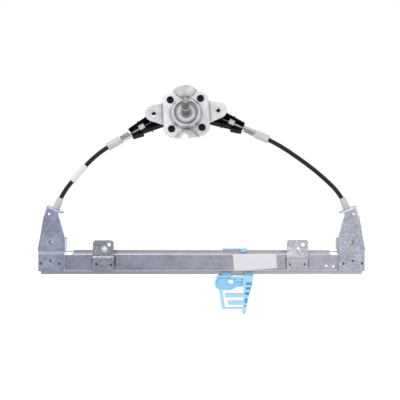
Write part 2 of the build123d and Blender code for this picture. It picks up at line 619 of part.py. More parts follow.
def end_bracket(side):
    """Pressed bracket that carries the pulley and the conduit's ferrule, clinched to the rail."""
    upper_front = RAIL_FRONT
    edge = [(BRACKET_OUTER, BRACKET_FOOT), (BRACKET_OUTER, JOGGLE_HIGH), BULGE, SHOULDER,
            (PEAK, seat_line(PEAK))]
    inner = [(NECK_TOP, seat_line(NECK_TOP))] + NECK + [
        (BRACKET_INNER, FLANGE_TOP + FLANGE_SLOPE), (BRACKET_INNER, BRACKET_FOOT)]
    outline = rounded(edge + inner, [1.0, 0, 0, 6.0, 1.0, 0.5, 3.0, 8.0, 0, 1.0])
    plate = joggled_sheet(BRACKET_FOOT, TOP_BLANK, (RAIL_FRONT - BRACKET_SHEET, upper_front),
                          (JOGGLE_LOW, JOGGLE_HIGH), BRACKET_SHEET, BRACKET_INNER - 1, BULGE[0] + 1)
    plate &= slab(outline, 0, 2 * upper_front)
    wall = BRACKET_DEPTH - upper_front
    rim = outline - offset(outline, -BRACKET_SHEET)
    rim -= block_face(BRACKET_INNER - 10, (BRACKET_INNER + BRACKET_OUTER) / 2, BRACKET_FOOT - 10, TOP_BLANK)
    rim -= block_face(BRACKET_INNER - 10, BULGE[0] + 10, BRACKET_FOOT - 10, BULGE[1])
    plate += slab(rim, upper_front, wall)
    top = rounded([(TOP_FLANGE_INNER, seat_line(TOP_FLANGE_INNER)),
                   (TOP_FLANGE_OUTER, seat_line(TOP_FLANGE_OUTER)),
                   (TOP_FLANGE_OUTER, seat_line(TOP_FLANGE_OUTER, BRACKET_SHEET)),
                   (TOP_FLANGE_INNER, seat_line(TOP_FLANGE_INNER, BRACKET_SHEET))])
    plate += slab(top, upper_front, wall)
    lower_wall = rounded([(BRACKET_INNER, JOGGLE_LOW), (BRACKET_INNER + BRACKET_SHEET, JOGGLE_LOW),
                          (BRACKET_INNER + BRACKET_SHEET, FLANGE_TOP + FLANGE_SLOPE),
                          (BRACKET_INNER, FLANGE_TOP)])
    plate += slab(lower_wall, upper_front, wall)
    flange_ends = [(x, seat_line(x)) for x in (TOP_FLANGE_INNER, PEAK - BRACKET_FOLD)]
    folds = [flange_ends, [(PEAK, seat_line(PEAK)), SHOULDER], [SHOULDER, BULGE],
             [(BRACKET_INNER, JOGGLE_HIGH), (BRACKET_INNER, FLANGE_TOP)]]
    for start, end in folds:
        plate = bend(plate, start, end, upper_front, BRACKET_FOLD, BRACKET_SHEET)
    plate -= block((BRACKET_INNER - 1, CABLE_Y - CABLE_NOTCH, CABLE_Z - CABLE_NOTCH),
                   (BRACKET_INNER + 2 * BRACKET_SHEET, BRACKET_DEPTH + 1, CABLE_Z + CABLE_NOTCH))
    plate -= rod_y(PULLEY_CENTRE, 0, 2 * upper_front, PULLEY_BORE)
    plate -= rod_y(GAUGE_HOLE, 0, 2 * upper_front, GAUGE_HOLE_RADIUS)
    seat = Plane(origin=(FERRULE_SEAT[0], CABLE_Y, FERRULE_SEAT[1]),
                 z_dir=(-sin(ferrule_tilt()), 0, cos(ferrule_tilt())))
    plate -= seat.location * Cylinder(FERRULE_SNOUT + FERRULE_FIT, 4 * BRACKET_SHEET)
    plate = add_clinches(plate, BRACKET_CLINCHES, RAIL_FRONT - BRACKET_SHEET, RAIL_FRONT)
    return plate if side == "right" else mirror(plate, about=Plane.YZ)


def pulley_place(side):
    """Centre of a pulley as (x, z)."""
    return (PULLEY_CENTRE[0] * (1 if side == "right" else -1), PULLEY_CENTRE[1])


def pulley(side):
    """Grooved pulley with a dished web."""
    half = PULLEY_WIDTH / 2
    floor = PULLEY_PITCH - CABLE_RADIUS - CABLE_GAP
    slot = CABLE_HOLE
    web, rim = PULLEY_WEB / 2, floor - PULLEY_RIM
    profile = [(PULLEY_BORE, half), (PULLEY_HUB, half), (PULLEY_HUB, web), (rim, web), (rim, half),
               (PULLEY_RADIUS, half), (PULLEY_RADIUS, 2 * slot), (floor, slot)]
    mirrored = [(r, -h) for r, h in reversed(profile)]
    return turned_y([(r, h + CABLE_Y) for r, h in profile + mirrored], pulley_place(side))


def pulley_rivet(side):
    """Shouldered hollow rivet that holds the bracket and carries the pulley."""
    head_front = RAIL_FRONT - RIVET_HEAD_HEIGHT
    shoulder = RAIL_FRONT + BRACKET_SHEET
    journal = CABLE_Y - PULLEY_WIDTH / 2 - RIVET_SIDE_GAP
    tail = CABLE_Y + PULLEY_WIDTH / 2 + RIVET_SIDE_GAP
    pin = PULLEY_BORE - RUNNING_FIT
    end = tail + RIVET_TAIL_LENGTH
    cup = head_front + RIVET_CUP_DEPTH
    return turned_y([(RIVET_CUP, head_front), (RIVET_HEAD - RIVET_HEAD_SLOPE, head_front),
                     (RIVET_HEAD, RAIL_FRONT),
                     (pin, RAIL_FRONT), (pin, shoulder), (RIVET_SHOULDER, shoulder),
                     (RIVET_SHOULDER, journal), (pin, journal), (pin, tail), (RIVET_TAIL, tail),
                     (RIVET_TAIL, end), (0, end), (0, cup), (RIVET_CUP_FLOOR, cup)],
                    pulley_place(side))


def ferrule_plane(side):
    """Frame of a ferrule's seat, with +Z up its axis towards the conduit."""
    flip = 1 if side == "right" else -1
    tilt = ferrule_tilt()
    return Plane(origin=(flip * FERRULE_SEAT[0], CABLE_Y, FERRULE_SEAT[1]), x_dir=(0, 1, 0),
                 z_dir=(-flip * sin(tilt), 0, cos(tilt)))


def end_ferrule(side):
    """White tapered ferrule with a snout through the flange and a socket for the conduit."""
    socket = CONDUIT_RADIUS + FERRULE_FIT
    body = turned([(CABLE_HOLE, -FERRULE_SNOUT_LENGTH), (FERRULE_SNOUT, -FERRULE_SNOUT_LENGTH),
                   (FERRULE_SNOUT, 0), (FERRULE_FOOT, 0), (FERRULE_FOOT, FERRULE_FOOT_HEIGHT),
                   (FERRULE_FOOT - FERRULE_EDGE, FERRULE_FOOT_HEIGHT + FERRULE_EDGE),
                   (FERRULE_TOP, FERRULE_LENGTH - FERRULE_EDGE),
                   (FERRULE_TOP - FERRULE_EDGE, FERRULE_LENGTH), (socket, FERRULE_LENGTH),
                   (socket, FERRULE_FLOOR), (CABLE_HOLE, FERRULE_FLOOR)])
    return ferrule_plane(side).location * body


def sleeve_start(side):
    """Distance along the arm's cable line at which the tensioner's sleeve begins."""
    return ARM_END + SPRING_WASHER + SPRING_LENGTH[side] + 2 * SPRING_GAP


def conduit_route(side):
    """Conduit route from the sleeve's socket to the ferrule's socket, chosen by hand between."""
    start = arm_point(side, sleeve_start(side) + SLEEVE_FLOOR + SPRING_GAP)
    clear = arm_point(side, sleeve_start(side) + SLEEVE_LENGTH + CONDUIT_LEAD[side])
    end = ferrule_plane(side).from_local_coords((0, 0, FERRULE_FLOOR + FERRULE_FIT))
    lead = ferrule_plane(side).from_local_coords((0, 0, FERRULE_LENGTH + FERRULE_LEAD))
    return [start, clear] + [Vector(point) for point in CONDUIT_POINTS[side]] + [lead, end]


def corner_radii(points):
    """Arc radius of each corner: as large as its two runs allow."""
    radii = []
    for before, corner, after in zip(points, points[1:], points[2:]):
        arriving, leaving = corner - before, after - corner
        turn = radians(arriving.get_angle(leaving))
        radii.append(BEND_SHARE * min(arriving.length, leaving.length) / tan(turn / 2))
    return radii


def conduit(side):
    """Black conduit, hollow for its cable."""
    points = conduit_route(side)
    path = FilletPolyline(*points, radius=corner_radii(points))
    print(side, "conduit length", round(path.length, 1))
    return tube(path, CONDUIT_RADIUS, CONDUIT_BORE)


def cable(side):
    """Inner cable from the slider round the pulley, through the conduit and onto the drum."""
    flip = 1 if side == "right" else -1
    route = conduit_route(side)
    tilt = ferrule_tilt()
    start = Vector(SLIDER_PLACE + flip * CABLE_MEETING_GAP / 2, CABLE_Y, CABLE_Z)
    seat = Vector(flip * FERRULE_SEAT[0], CABLE_Y, FERRULE_SEAT[1])
    corner = Vector(seat.X + flip * tan(tilt) * (seat.Z - CABLE_Z), CABLE_Y, CABLE_Z)
    points = [start, corner] + route[-2:0:-1] + [arm_point(side, 0)]
    radii = [PULLEY_PITCH] + corner_radii(route)[::-1]
    path = FilletPolyline(*points, radius=radii)
    print(side, "cable length", round(path.length, 1))
    return tube(path, CABLE_RADIUS)


def case_outline():
    """Plan of the cover's rear part: a disc with a lobe round each screw."""
    plan = Circle(CASE_RADIUS)
    for x, y in screw_places():
        plan += Pos(x, y) * Circle(BOSS_RADIUS)
    return plan


def hump():
    """Hood at the cover's upper edge: part of a ball, hollow where it overhangs the pads."""
    place = Pos(0, HUMP_CENTRE, HUMP_DEPTH)
    beyond = 2 * HUMP_BALL
    hollow = place * Sphere(HUMP_BALL - HUMP_SHEET)
    hollow &= block((-beyond, COVER_HALF, -beyond), (beyond, COVER_HALF + beyond, beyond))
    hood = place * Sphere(HUMP_BALL) - hollow
    hood &= Cylinder(HUMP_REACH, 2 * beyond)
    return hood & block((-beyond, 0, -HUMP_FOOT), (beyond, 2 * beyond, beyond))


def drive_cover():
    """Cast cover: four screw pads round a ring boss, two hoods, and two ears."""
    half, cut = COVER_HALF, COVER_HALF - COVER_CORNER
    pads = rounded([(half, -cut), (half, cut), (cut, half), (-cut, half), (-half, cut), (-half, -cut),
                    (-cut, -half), (cut, -half)], PAD_ROUND)
    cover = Pos(0, 0, -PAD_SHEET) * extrude(pads, PAD_SHEET)
    cover += Pos(0, 0, -COVER_HEIGHT) * extrude(case_outline(), COVER_HEIGHT - PAD_SHEET)
    upper_hump = hump()
    cover += upper_hump
    cover += mirror(upper_hump, about=Plane.XZ)
    cover += turned([(0, -1), (RING_FOOT, -1), (RING_FOOT, 0), (RING_RADIUS, RING_HEIGHT - RING_BEVEL),
                     (RING_RADIUS - RING_EDGE, RING_HEIGHT), (RING_CREST, RING_HEIGHT),
                     (RING_CREST - RING_EDGE, DOME_LOW), (DOME_RADIUS, DOME_LOW),
                     (BUSH_RADIUS + NOSE_EDGE, DOME_HIGH), (0, DOME_HIGH)])
    for flip in (-1, 1):
        cover += ear(flip)
    cover -= Pos(0, 0, (BRAKE_BORE_TOP - COVER_HEIGHT) / 2) * Cylinder(
        BRAKE_BORE, BRAKE_BORE_TOP + COVER_HEIGHT)
    cover -= Cylinder(BUSH_RADIUS, 4 * DOME_HIGH)
    for x, y in screw_places():
        cover -= Pos(x, y, 0) * Cylinder(SCREW_SHANK + SCREW_FIT, 4 * COVER_HEIGHT)
    return on_drive(cover)


def ear(flip):
    """Fixing ear: a round end on a wide root, with a sloped step up to the pads."""
    centre = flip * EAR_HALF_SPACING
    end = Pos(centre, EAR_RISE) * Circle(EAR_RADIUS)
    root = Pos(flip * EAR_ROOT, (EAR_ROOT_LOW + EAR_ROOT_HIGH) / 2) * Rectangle(
        2, EAR_ROOT_HIGH - EAR_ROOT_LOW)
    plan = make_hull((end + root).edges())
    plate = Pos(0, 0, EAR_FRONT - EAR_SHEET) * extrude(plan, EAR_SHEET)
    side = flip * COVER_HALF
    step = make_face(Polyline((side - flip, 0), (side, 0), (side + flip * EAR_STEP, EAR_FRONT),
                              (side + flip * EAR_STEP, EAR_FRONT - EAR_SHEET),
                              (side - flip, EAR_FRONT - EAR_SHEET), close=True).edges())
    reach = COVER_HALF - COVER_CORNER
    ramp = extrude(Plane.XZ * step, reach * 2, both=True)
    ramp &= extrude(make_hull((end + root).edges()), -COVER_HEIGHT, both=True)
    plate += ramp
    hole = Pos(centre, EAR_RISE, EAR_FRONT) * Cylinder(INSERT_COLLAR, 4 * EAR_SHEET)
    return plate - hole


def ear_inserts():
    """Threaded inserts of the two ears."""
    pieces = []
    for flip in (-1, 1):
        insert = threaded_insert(EAR_SHEET, INSERT_COLLAR_PROUD)
        pieces.append(on_drive(Pos(flip * EAR_HALF_SPACING, EAR_RISE, EAR_FRONT) * insert))
    return Compound(pieces)


def screw_places():
    """Centres of the four cover screws."""
    reach = SCREW_HALF_SPACING
    return [(x, y) for x in (-reach, reach) for y in (-reach, reach)]


def cover_screws():
    """Four star-drive pan-head screws."""
    screw = turned([(0, -SCREW_LENGTH), (SCREW_SHANK - SCREW_POINT, -SCREW_LENGTH),
                    (SCREW_SHANK, SCREW_POINT - SCREW_LENGTH), (SCREW_SHANK, 0), (SCREW_HEAD, 0),
                    (SCREW_HEAD, SCREW_HEAD_HEIGHT - SCREW_BEVEL),
                    (SCREW_HEAD - SCREW_BEVEL, SCREW_HEAD_HEIGHT),
                    (0, SCREW_HEAD_HEIGHT)])
    star = Circle(SCREW_STAR)
    for point in range(6):
        star += Rot(0, 0, 60 * point) * Pos(SCREW_STAR, 0) * Circle(SCREW_STAR_LOBE)
    screw -= Pos(0, 0, SCREW_HEAD_HEIGHT - SCREW_STAR_DEPTH) * extrude(star, SCREW_STAR_DEPTH + 1)
    return Compound([on_drive(Pos(x, y, 0) * screw) for x, y in screw_places()])


def arm_outline():
    """Plan of an arm in its own frame: wide at the drum, stepped below, narrow at its end."""
    return rounded([(ARM_END, ARM_END_UP), (ARM_ROOT, ARM_ROOT_UP), (ARM_ROOT, ARM_ROOT_DOWN),
                    (ARM_STEP, ARM_STEP_IN), (ARM_STEP + ARM_STEP_RUN, ARM_STEP_OUT),
                    (ARM_END, ARM_END_DOWN)],
                   [1.0, 0, 0, 1.0, 0.8, 1.0])


def housing_arm():
    """Channel arm open to the front, with guide walls for the tensioner's head and outside ribs."""
    low = HOUSING_BACK - CABLE_DEPTH
    high = ARM_TOP - CABLE_DEPTH
    plan = arm_outline()
    inside = offset(plan, -ARM_WALL)
    arm = Pos(0, 0, low) * extrude(plan, high - low)
    arm -= Pos(0, 0, low + HOUSING_FLOOR) * extrude(inside, high - low)
    for flip in (-1, 1):
        inner = flip * GUIDE_GAP
        outer = flip * (GUIDE_GAP + GUIDE_WALL)
        arm += block((GUIDE_START, min(inner, outer), low),
                     (ARM_END - 1, max(inner, outer), high - GUIDE_DROP))
    for index in range(ARM_RIBS):
        along = ARM_END - ARM_RIB_START - index * ARM_RIB_PITCH
        share = (ARM_END - along) / (ARM_END - ARM_ROOT)
        edge = ARM_END_UP + share * (ARM_ROOT_UP - ARM_END_UP)
        arm += block((along - ARM_RIB_HALF, edge - 1, low),
                     (along + ARM_RIB_HALF, edge + ARM_RIB_SIZE, high - ARM_RIB_DROP))
    half = ARM_NUB_HALF
    for along, across in ARM_NUBS:
        arm += block((along - half, across - half, low), (along + half, across + half, high))
    slot = STEM_RADIUS + BODY_GAP
    arm -= block((ARM_END - 2 * ARM_WALL - 1, -slot, -slot), (ARM_END + 1, slot, high + 1))
    return arm


def drum_housing():
    """Black moulding behind the cover: drum well with a top flange, screw bosses and two arms."""
    depth = -COVER_HEIGHT - HOUSING_BACK
    floor_top = HOUSING_BACK + HOUSING_FLOOR
    shell = Pos(0, 0, HOUSING_BACK) * extrude(Circle(HOUSING_RADIUS), depth)
    flange_low = -COVER_HEIGHT - HOUSING_FLANGE_SHEET
    shell += Pos(0, 0, flange_low) * extrude(Circle(HOUSING_FLANGE), HOUSING_FLANGE_SHEET)
    for x, y in screw_places():
        shell += Pos(x, y, BOSS_BACK) * extrude(Circle(BOSS_RADIUS), -COVER_HEIGHT - BOSS_BACK)
    arms = arm_plane().location * housing_arm()
    arms -= Pos(0, 0, -COVER_HEIGHT) * extrude(offset(case_outline(), HOUSING_CLEAR), COVER_HEIGHT)
    shell += arms + mirror(arms, about=Plane.YZ)
    throat = arm_plane().location * block(
        (2, -GUIDE_GAP, floor_top - CABLE_DEPTH), (THROAT_END, GUIDE_GAP, -COVER_HEIGHT - CABLE_DEPTH))
    shell = shell - throat - mirror(throat, about=Plane.YZ)
    shell -= Pos(0, 0, floor_top) * extrude(Circle(WELL_RADIUS), depth)
    for x, y in screw_places():
        shell -= Pos(x, y, BOSS_BACK + HOUSING_FLOOR) * extrude(Circle(SCREW_SHANK + SCREW_FIT), depth)
    shell -= Pos(0, 0, HOUSING_BACK) * Cylinder(SPINDLE_CORE + RUNNING_FIT, 4 * HOUSING_FLOOR)
    return on_drive(shell)


def cable_drum():
    """Drum with three grooves: two hold wound turns and the middle one takes the strands."""
    slot = CABLE_HOLE
    floor = DRUM_PITCH_RADIUS - CABLE_HOLE
    drum = turned([(SPINDLE_CORE, DRUM_BACK), (DRUM_RADIUS, DRUM_BACK), (DRUM_RADIUS, DRUM_FRONT),
                   (SPINDLE_CORE, DRUM_FRONT)])
    for step in (-1, 0, 1):
        middle = CABLE_DEPTH + step * DRUM_GROOVE_STEP
        drum -= turned([(floor, middle - slot), (DRUM_RADIUS + 1, middle - slot),
                        (DRUM_RADIUS + 1, middle + slot), (floor, middle + slot)])
    return on_drive(drum)


def cable_turns(step):
    """One wound turn of cable on the drum, beside the strand groove."""
    ring = Pos(0, 0, CABLE_DEPTH + step * DRUM_GROOVE_STEP) * Torus(
        DRUM_PITCH_RADIUS - CABLE_GAP, CABLE_RADIUS)
    return on_drive(ring)


def spline_outline():
    """Toothed outline of the spindle's end."""
    points = []
    for tooth in range(SPLINE_TEETH):
        for radius, share in ((SPLINE_OUTER, 0.0), (SPLINE_INNER, 0.5)):
            angle = radians(360 * (tooth + share) / SPLINE_TEETH)
            points.append((radius * cos(angle), radius * sin(angle)))
    return make_face(Polyline(*points, close=True).edges())


def crank_spindle():
    """Stepped spindle with a toothed end for the crank handle."""
    neck = SPINDLE_CORE - RING_GROOVE_DEPTH
    groove_top = HOUSING_BACK - RING_CLIP_GAP
    groove_low = groove_top - RING_CLIP_THICKNESS
    tail = groove_low - SPINDLE_END
    shaft = turned([(0, tail), (SPINDLE_CORE - TIP_BEVEL, tail), (SPINDLE_CORE, tail + TIP_BEVEL),
                    (SPINDLE_CORE, groove_low), (neck, groove_low),
                    (neck, groove_top), (SPINDLE_CORE, groove_top), (SPINDLE_CORE, BRAKE_HUB_TOP),
                    (SPINDLE_JOURNAL, BRAKE_HUB_TOP), (SPINDLE_JOURNAL, SEAT_LOW),
                    (SPINDLE_RADIUS, SEAT_LOW), (SPINDLE_RADIUS, SEAT_HIGH),
                    (SPLINE_OUTER, SPINDLE_SHOULDER), (SPLINE_INNER, SPINDLE_SHOULDER),
                    (0, SPINDLE_SHOULDER)])
    teeth = Pos(0, 0, SEAT_HIGH) * extrude(spline_outline(), SPINDLE_TIP - SEAT_HIGH)
    cone = turned([(0, SEAT_HIGH), (SPINDLE_RADIUS, SEAT_HIGH), (SPINDLE_RADIUS, SPINDLE_TIP - TIP_CONE),
                   (SPLINE_INNER - TIP_BEVEL, SPINDLE_TIP), (0, SPINDLE_TIP)])
    return on_drive(shaft + (teeth & cone))


def spindle_bush():
    """Plain bush in the cover's nose, round the spindle."""
    bore = SPINDLE_JOURNAL + RUNNING_FIT
    return on_drive(turned([(bore, BRAKE_BORE_TOP), (BUSH_RADIUS, BRAKE_BORE_TOP),
                            (BUSH_RADIUS, BUSH_TOP - BUSH_BEVEL), (BUSH_RADIUS - BUSH_BEVEL, BUSH_TOP),
                            (bore, BUSH_TOP)]))


def brake_hub():
    """Hub on the spindle that the wrap spring grips."""
    hub = turned([(SPINDLE_CORE, BRAKE_HUB_BACK), (BRAKE_HUB, BRAKE_HUB_BACK),
                  (BRAKE_HUB, BRAKE_HUB_TOP), (SPINDLE_CORE, BRAKE_HUB_TOP)])
    return on_drive(hub)


def brake_spring():
    """Wrap spring of square wire that lines the cover's bore."""
    radius = BRAKE_BORE - RUNNING_FIT - BRAKE_WIRE / 2
    coil = Helix(pitch=BRAKE_PITCH, height=BRAKE_PITCH * BRAKE_TURNS, radius=radius)
    start = Plane(origin=coil @ 0, x_dir=(1, 0, 0), z_dir=coil % 0)
    wire = sweep(start * Rectangle(BRAKE_WIRE, BRAKE_WIRE), path=coil, is_frenet=True)
    return on_drive(Pos(0, 0, BRAKE_HUB_BACK + BRAKE_WIRE / 2) * wire)


def retaining_ring():
    """Open clip ring in the groove at the back of the spindle."""
    neck = SPINDLE_CORE - RING_GROOVE_DEPTH
    ring = turned([(neck, 0), (RING_CLIP_RADIUS, 0), (RING_CLIP_RADIUS, RING_CLIP_THICKNESS),
                   (neck, RING_CLIP_THICKNESS)])
    ring -= block((0, -RING_CLIP_MOUTH, -1), (RING_CLIP_RADIUS + 1, RING_CLIP_MOUTH, RING_CLIP_THICKNESS + 1))
    lift = HOUSING_BACK - RING_CLIP_GAP - RING_CLIP_THICKNESS
    return on_drive(Pos(0, 0, lift) * ring)


def along_arm(profile):
    """Revolve a (distance, radius) outline about the arm's cable line."""
    face = make_face(Polyline(*profile, close=True).edges())
    return revolve(face, axis=Axis.X)


def tensioner(side):
    """White moulding: a head in the arm, a hollow stem through its end, and the conduit's sleeve."""
    begin = sleeve_start(side)
    end = begin + SLEEVE_LENGTH
    bore = CABLE_RADIUS + STEM_FIT
    long, wide, tall = HEAD_SIZE
    body = block((HEAD_START, -wide / 2, -tall / 2), (HEAD_START + long, wide / 2, tall / 2))
    body += along_arm([(HEAD_START, 0), (HEAD_START, STEM_RADIUS), (begin, STEM_RADIUS),
                       (begin, SLEEVE_RADIUS - SLEEVE_EDGE), (begin + SLEEVE_EDGE, SLEEVE_RADIUS),
                       (end - SLEEVE_BEVEL, SLEEVE_RADIUS), (end, SLEEVE_RADIUS - SLEEVE_BEVEL), (end, 0)])
    body -= along_arm([(HEAD_START - 1, 0), (HEAD_START - 1, bore), (begin + SLEEVE_FLOOR, bore),
                       (begin + SLEEVE_FLOOR, SLEEVE_BORE), (end - SLEEVE_MOUTH, SLEEVE_BORE),
                       (end, SLEEVE_BORE + SLEEVE_MOUTH), (end + 1, SLEEVE_BORE + SLEEVE_MOUTH),
                       (end + 1, 0)])
    return on_arm(body, side)


def spring_washer(side):
    """Thin washer between the arm's end and the tension spring."""
    bore = STEM_RADIUS + BODY_GAP
    body = along_arm([(ARM_END, bore), (ARM_END, SPRING_WASHER_RADIUS),
                      (ARM_END + SPRING_WASHER, SPRING_WASHER_RADIUS), (ARM_END + SPRING_WASHER, bore)])
    return on_arm(body, side)


def tension_spring(side):
    """Compression spring round the stem, between the washer and the sleeve."""
    wire = SPRING_WIRE
    length = SPRING_LENGTH[side] - wire
    turns = ceil(length / SPRING_PITCH)
    coil = Helix(pitch=length / turns, height=length, radius=SPRING_RADIUS - wire / 2)
    start = Plane(origin=coil @ 0, x_dir=(1, 0, 0), z_dir=coil % 0)
    body = sweep(start * Rectangle(wire, wire), path=coil, is_frenet=True)
    lift = ARM_END + SPRING_WASHER + SPRING_GAP + wire / 2
    return on_arm(Pos(lift, 0, 0) * Rot(0, 90, 0) * body, side)


def leaf_outline():
    """Ladder-shaped leaf of the glass clip: leg, two spring fingers and foot bar."""
    leaf = rounded(LEG, LEG_ROUND) + rounded(UPPER_FINGER, FINGER_ROUND)
    return leaf + rounded(LOWER_FINGER, FINGER_ROUND) + block_face(*FOOT)


def slider():
    """Moulded slider: guide block, hooks over both lips, lobe, and the glass clip."""
    back = RAIL_REAR + SLIDER_GAP
    hook_front = LIP_FRONT - SLIDER_GAP - SLIDER_JAW
    crest_low = SLIDER_CREST - SLIDER_HOOK
    body = block((SLIDER_LEFT, back, CABLE_Z - GUIDE_HALF), (SLIDER_RIGHT, SLIDER_BACK, SLIDER_CREST))
    body += block((SLIDER_LEFT, hook_front, crest_low), (SLIDER_RIGHT, back, SLIDER_CREST))
    left, right = (SLIDER_PLACE + x for x in FINGER_SPAN)
    body += block((left, hook_front, crest_low - FINGER_HANG), (right, LIP_FRONT - SLIDER_GAP, SLIDER_CREST))
    body += block((SLIDER_LEFT - PLATE_WIDER, back, BOTTOM_LIP_EDGE - CLIP_DROP),
                  (SLIDER_RIGHT + PLATE_WIDER, back + 2 * SLIDER_SHEET, CABLE_Z - PLATE_OVERLAP))
    body += Pos(SLIDER_PLACE, 0, BOTTOM_LIP_EDGE) * hanging_part(hook_front, back)
    channel = CABLE_RADIUS + CHANNEL_GAP
    body -= block((SLIDER_LEFT - 1, back - 1, CABLE_Z - channel),
                  (SLIDER_RIGHT + 1, CABLE_Y + channel, CABLE_Z + channel))
    for x in nipple_places():
        body -= nipple_pocket(x)
    return body


def hanging_part(hook_front, back):
    """Part of the slider below the rail: lip clips, lobe, column and the two leaves of the glass clip."""
    plate_back = LEAF_FRONT + 2 * LEAF_SHEET + GLASS_SLOT
    body = lobe(plate_back) + column(plate_back)
    ledge = -SLIDER_GAP
    for left, right in CLIP_SPANS:
        body += block((left, hook_front, ledge - CLIP_DROP), (right, back + 1, ledge))
        body += block((left, hook_front, ledge - 1), (right, LIP_FRONT - SLIDER_GAP, ledge + CLIP_JAW))
    leaf = leaf_outline()
    body += slab(leaf, LEAF_FRONT, LEAF_SHEET)
    return body + slab(leaf, LEAF_FRONT + LEAF_SHEET + GLASS_SLOT, LEAF_SHEET)


def lobe(plate_back):
    """Lobe as a thin web inside a deep rim, with an oval window and a ribbed bridge."""
    outline = rounded(LOBE, LOBE_ROUNDS)
    rim = outline - offset(outline, -SLIDER_SHEET)
    web_front = LEAF_FRONT + LEAF_SHEET + WEB_SETBACK
    body = slab(rim, LEAF_FRONT, plate_back - LEAF_FRONT) + slab(outline, web_front, SLIDER_SHEET)
    left, right, low, high = BRIDGE
    body += block((left, LEAF_FRONT + BRIDGE_SETBACK, low), (right, web_front + 1, high))
    window = SlotOverall(*LOBE_WINDOW_SIZE)
    place = Pos(*LOBE_WINDOW) * Rot(0, 0, LOBE_WINDOW_TURN)
    body += slab(place * offset(window, LOBE_COLLAR), web_front - LOBE_COLLAR, SLIDER_SHEET + LOBE_COLLAR)
    body -= slab(place * window, LEAF_FRONT - 1, plate_back)
    for pit in LOBE_PITS:
        body -= rod_y(pit, LEAF_FRONT - 1, web_front - LEAF_FRONT + PIT_DEPTH, PIT_RADIUS)
    return body


def column(plate_back):
    """Column that closes the glass slot, with a row of moulded pockets in its front."""
    body = slab(rounded(COLUMN, COLUMN_ROUNDS), LEAF_FRONT, plate_back - LEAF_FRONT)
    for left, right, low, high in COLUMN_POCKETS:
        body -= block((left, LEAF_FRONT - 1, low), (right, LEAF_FRONT + 2 * LEAF_SHEET, high))
    return body


def nipple_places():
    """Middle of each cable nipple, along the slider."""
    inset = NIPPLE_INSET + NIPPLE_LENGTH / 2
    return [SLIDER_LEFT + inset, SLIDER_RIGHT - inset]


def nipple_pocket(x):
    """Pocket for a nipple, open at the back of the slider's guide block."""
    half = NIPPLE_LENGTH / 2 + NIPPLE_FIT
    wide = NIPPLE_RADIUS + NIPPLE_FIT
    bore = Pos(x, CABLE_Y, CABLE_Z) * Rot(0, 90, 0) * Cylinder(wide, 2 * half)
    return bore + block((x - half, CABLE_Y, CABLE_Z - wide), (x + half, SLIDER_BACK + 1, CABLE_Z + wide))


def slider_nipple(index):
    """Barrel nipple crimped on a cable's end, seated in the slider."""
    body = Cylinder(NIPPLE_RADIUS, NIPPLE_LENGTH) - Cylinder(CABLE_HOLE, NIPPLE_LENGTH + 1)
    return Pos(nipple_places()[index], CABLE_Y, CABLE_Z) * Rot(0, 90, 0) * body


def pieces():
    """Every node of the regulator and its solid."""
    parts = {"guide_rail": guide_rail(), "slider": slider(), "drive_cover": drive_cover(),
             "ear_inserts": ear_inserts(), "cover_screws": cover_screws(),
             "drum_housing": drum_housing(), "cable_drum": cable_drum(),
             "cable_turns_front": cable_turns(1), "cable_turns_rear": cable_turns(-1),
             "crank_spindle": crank_spindle(), "spindle_bush": spindle_bush(),
             "brake_hub": brake_hub(), "brake_spring": brake_spring(),
             "retaining_ring": retaining_ring(), "slider_nipple_left": slider_nipple(0),
             "slider_nipple_right": slider_nipple(1)}
    for side in ("left", "right"):
        parts["end_bracket_" + side] = end_bracket(side)
        parts["mounting_bracket_" + side] = mounting_bracket(side)
        parts["tab_insert_" + side] = tab_insert(side)
        parts["pulley_" + side] = pulley(side)
        parts["pulley_rivet_" + side] = pulley_rivet(side)
        parts["end_ferrule_" + side] = end_ferrule(side)
        parts["conduit_" + side] = conduit(side)
        parts["cable_" + side] = cable(side)
        parts["tensioner_" + side] = tensioner(side)
        parts["spring_washer_" + side] = spring_washer(side)
        parts["tension_spring_" + side] = tension_spring(side)
    return parts


os.makedirs("parts", exist_ok=True)
for name, solid in pieces().items():
    export_step(solid, f"parts/{name}.step")
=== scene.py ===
import json
import math

import bpy
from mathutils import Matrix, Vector


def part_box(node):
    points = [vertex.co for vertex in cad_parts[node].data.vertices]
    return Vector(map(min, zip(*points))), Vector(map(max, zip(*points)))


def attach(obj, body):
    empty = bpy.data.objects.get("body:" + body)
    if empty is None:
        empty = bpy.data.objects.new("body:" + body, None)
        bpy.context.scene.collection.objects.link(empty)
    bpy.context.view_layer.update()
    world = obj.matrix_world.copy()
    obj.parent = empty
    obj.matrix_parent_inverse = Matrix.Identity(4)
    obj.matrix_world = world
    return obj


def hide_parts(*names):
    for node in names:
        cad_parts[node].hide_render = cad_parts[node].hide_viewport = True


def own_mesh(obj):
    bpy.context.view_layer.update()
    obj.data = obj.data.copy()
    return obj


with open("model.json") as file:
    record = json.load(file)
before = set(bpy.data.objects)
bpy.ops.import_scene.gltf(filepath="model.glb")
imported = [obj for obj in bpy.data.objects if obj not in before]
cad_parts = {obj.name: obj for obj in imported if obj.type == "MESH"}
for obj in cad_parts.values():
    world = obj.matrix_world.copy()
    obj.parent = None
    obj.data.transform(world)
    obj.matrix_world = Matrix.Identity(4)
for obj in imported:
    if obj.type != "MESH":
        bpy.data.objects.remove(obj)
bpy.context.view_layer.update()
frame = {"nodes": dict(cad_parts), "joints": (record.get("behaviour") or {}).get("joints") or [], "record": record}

# Cable window regulator, in metres, in the frame of the solids.
# +X runs along the rail, +Z is up, and -Y points at the viewer.
MM = 0.001

# Camera: the photograph looks square at the rail from about a metre
CAMERA_PLACE = (-2.0 * MM, -1.0, 68.1 * MM)
FRAME_WIDTH = 0.5567
SENSOR = 36.0

